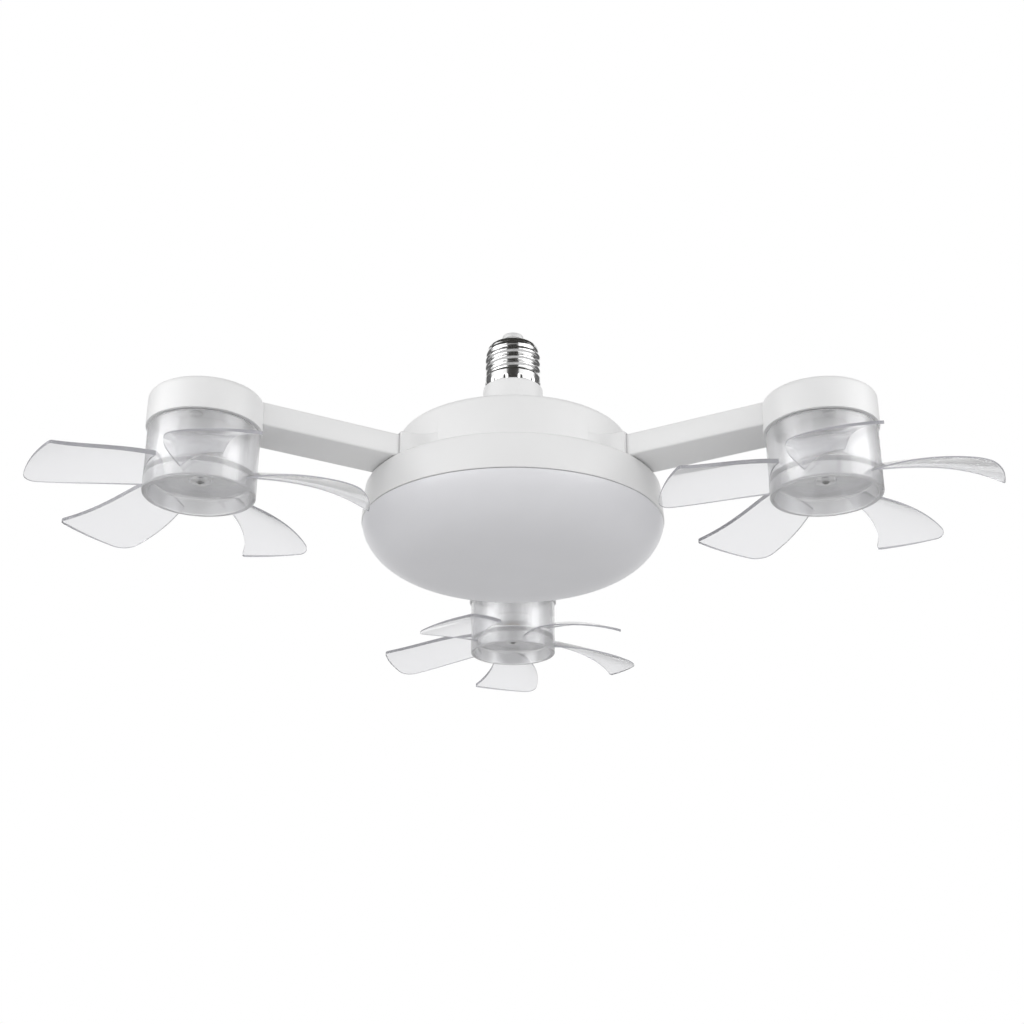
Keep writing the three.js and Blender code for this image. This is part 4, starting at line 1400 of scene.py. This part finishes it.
floor_finish = finish(
    "floor_finish", grey(0.75), grey(0.73), (0.7, 0.8), patch=2.0, grain=60.0, bump=0.2
)
let_go()
bpy.ops.mesh.primitive_plane_add(size=FLOOR_SIZE, location=(0, 0, FLOOR_Z))
floor = bpy.context.object
floor.name = "floor"
bpy.ops.object.transform_apply(location=True)
floor.data.materials.append(floor_finish)
floor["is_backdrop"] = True


def lamp(name, place, aim, width, height, power):
    """A wide soft lamp at a place, turned to look at another point."""
    data = bpy.data.lights.new(name, "AREA")
    data.shape = "RECTANGLE"
    data.size = width
    data.size_y = height
    data.energy = power
    made = bpy.data.objects.new(name, data)
    scene.collection.objects.link(made)
    made.location = place
    made.rotation_euler = (Vector(aim) - Vector(place)).to_track_quat("-Z", "Y").to_euler()
    made.visible_camera = False
    return made


LAMP_AIM = (0, 0, -0.08)
LAMPS = {
    "left_lamp": ((-0.75, -0.35, 0.05), 0.6, 2.4),
    "right_lamp": ((0.75, -0.35, 0.05), 0.6, 2.25),
    "left_front_lamp": ((-0.7, -1.4, 0.1), 1.0, 2.4),
    "right_front_lamp": ((0.7, -1.4, 0.1), 1.0, 1.6),
}
for name, (place, size, power) in LAMPS.items():
    lamp(name, place, LAMP_AIM, size, size, power)
print("lamps:", len(LAMPS))

# %% [markdown]
# A polished cap shows its surroundings, and in a white room it would look white. Cards that only
# reflections can see give it its dark bands, as a photographer would. A dark card in front
# makes the upright band in the middle, a dark roof makes the band on the shoulder, and grey
# cards at the sides and behind darken the outline. A new plane counts its corners row by row,
# so the last two change places to run round it.

# %% Studio: cards
NEAR = 1.2
SLOT = 0.55
FOOT = FLOOR_Z + 0.01
EAVES = 1.25
FRONT_FOOT = -0.35
FLOOR_CARD_SHARE = 0.6
FLOOR_CARD_FRONT = -0.95
FLOOR_CARD_BACK = -0.4
ROOF_FRONT = -0.7
ROOF_BACK = 1.0
SIDE_FRONT = 0.2
BACK_CARD_SHARE = 0.7
PLANE_ORDER = (0, 1, 3, 2)

dark_card = finish(
    "dark_card", (0.06, 0.058, 0.052), (0.05, 0.048, 0.043), (0.8, 0.9), patch=3.0, bump=0.05
)
grey_card = finish("grey_card", grey(0.22), grey(0.18), (0.8, 0.9), patch=3.0, bump=0.05)


def card(name, corners, card_finish):
    """A card that only reflections can see."""
    let_go()
    bpy.ops.mesh.primitive_plane_add(size=1)
    made = bpy.context.object
    made.name = name
    for index, corner in zip(PLANE_ORDER, corners):
        made.data.vertices[index].co = corner
    made.data.materials.append(card_finish)
    made.visible_camera = False
    made.visible_diffuse = False
    made.visible_transmission = False
    made.visible_volume_scatter = False
    made.visible_shadow = False
    made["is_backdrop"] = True
    return made


def upright(x0, y0, x1, y1, low, high):
    """Four corners of a card that stands between two points."""
    return [(x0, y0, low), (x1, y1, low), (x1, y1, high), (x0, y0, high)]


def level(x0, y0, x1, y1, height):
    """Four corners of a card that lies level."""
    return [(x0, y0, height), (x1, y0, height), (x1, y1, height), (x0, y1, height)]


slot_share = SLOT * FLOOR_CARD_SHARE
card("front_card", upright(-SLOT, -NEAR, SLOT, -NEAR, FRONT_FOOT, EAVES), dark_card)
card(
    "front_floor_card",
    level(-slot_share, FLOOR_CARD_FRONT, slot_share, FLOOR_CARD_BACK, FOOT),
    dark_card,
)
card("eaves_card", level(-NEAR, -NEAR, NEAR, ROOF_FRONT, EAVES), dark_card)
card("roof_card", level(-NEAR, ROOF_FRONT, NEAR, ROOF_BACK, EAVES), dark_card)
for sign, name in ((-1, "left"), (1, "right")):
    side = sign * NEAR
    inner = side * BACK_CARD_SHARE
    card(f"{name}_card", upright(side, SIDE_FRONT, side, NEAR, FOOT, EAVES), grey_card)
    card(f"back_{name}_card", upright(side, NEAR, inner, NEAR, FOOT, EAVES), grey_card)
print("stage set")

# %% [markdown]
# The camera stands below the lamp and looks up at it, close enough for the far fan to hang lower
# in the picture than the near ones. Its place, tilt and lens were measured on the object.

# %% Camera
CAMERA_PLACE = (0, -0.6322, -0.3499)
CAMERA_TILT = math.radians(112.21)
LENS = 51.97
SENSOR = 36.0
SHIFT = -0.0009

view = bpy.data.cameras.new("camera")
view.lens = LENS
view.sensor_width = SENSOR
view.shift_x = SHIFT
camera = bpy.data.objects.new("camera", view)
scene.collection.objects.link(camera)
camera.location = CAMERA_PLACE
camera.rotation_euler = (CAMERA_TILT, 0, 0)
scene.camera = camera
scene.view_settings.view_transform = "Standard"
print("camera at", CAMERA_PLACE)

# %% Measure and finish
size_at_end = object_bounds()


def plain(value):
    """Numbers in nested plain lists."""
    if isinstance(value, (tuple, list, Vector)):
        return [plain(part) for part in value]
    return float(value)


{"at_load": plain(size_at_load), "at_end": plain(size_at_end)}
print("size at load", plain(size_at_load), "at end", plain(size_at_end))
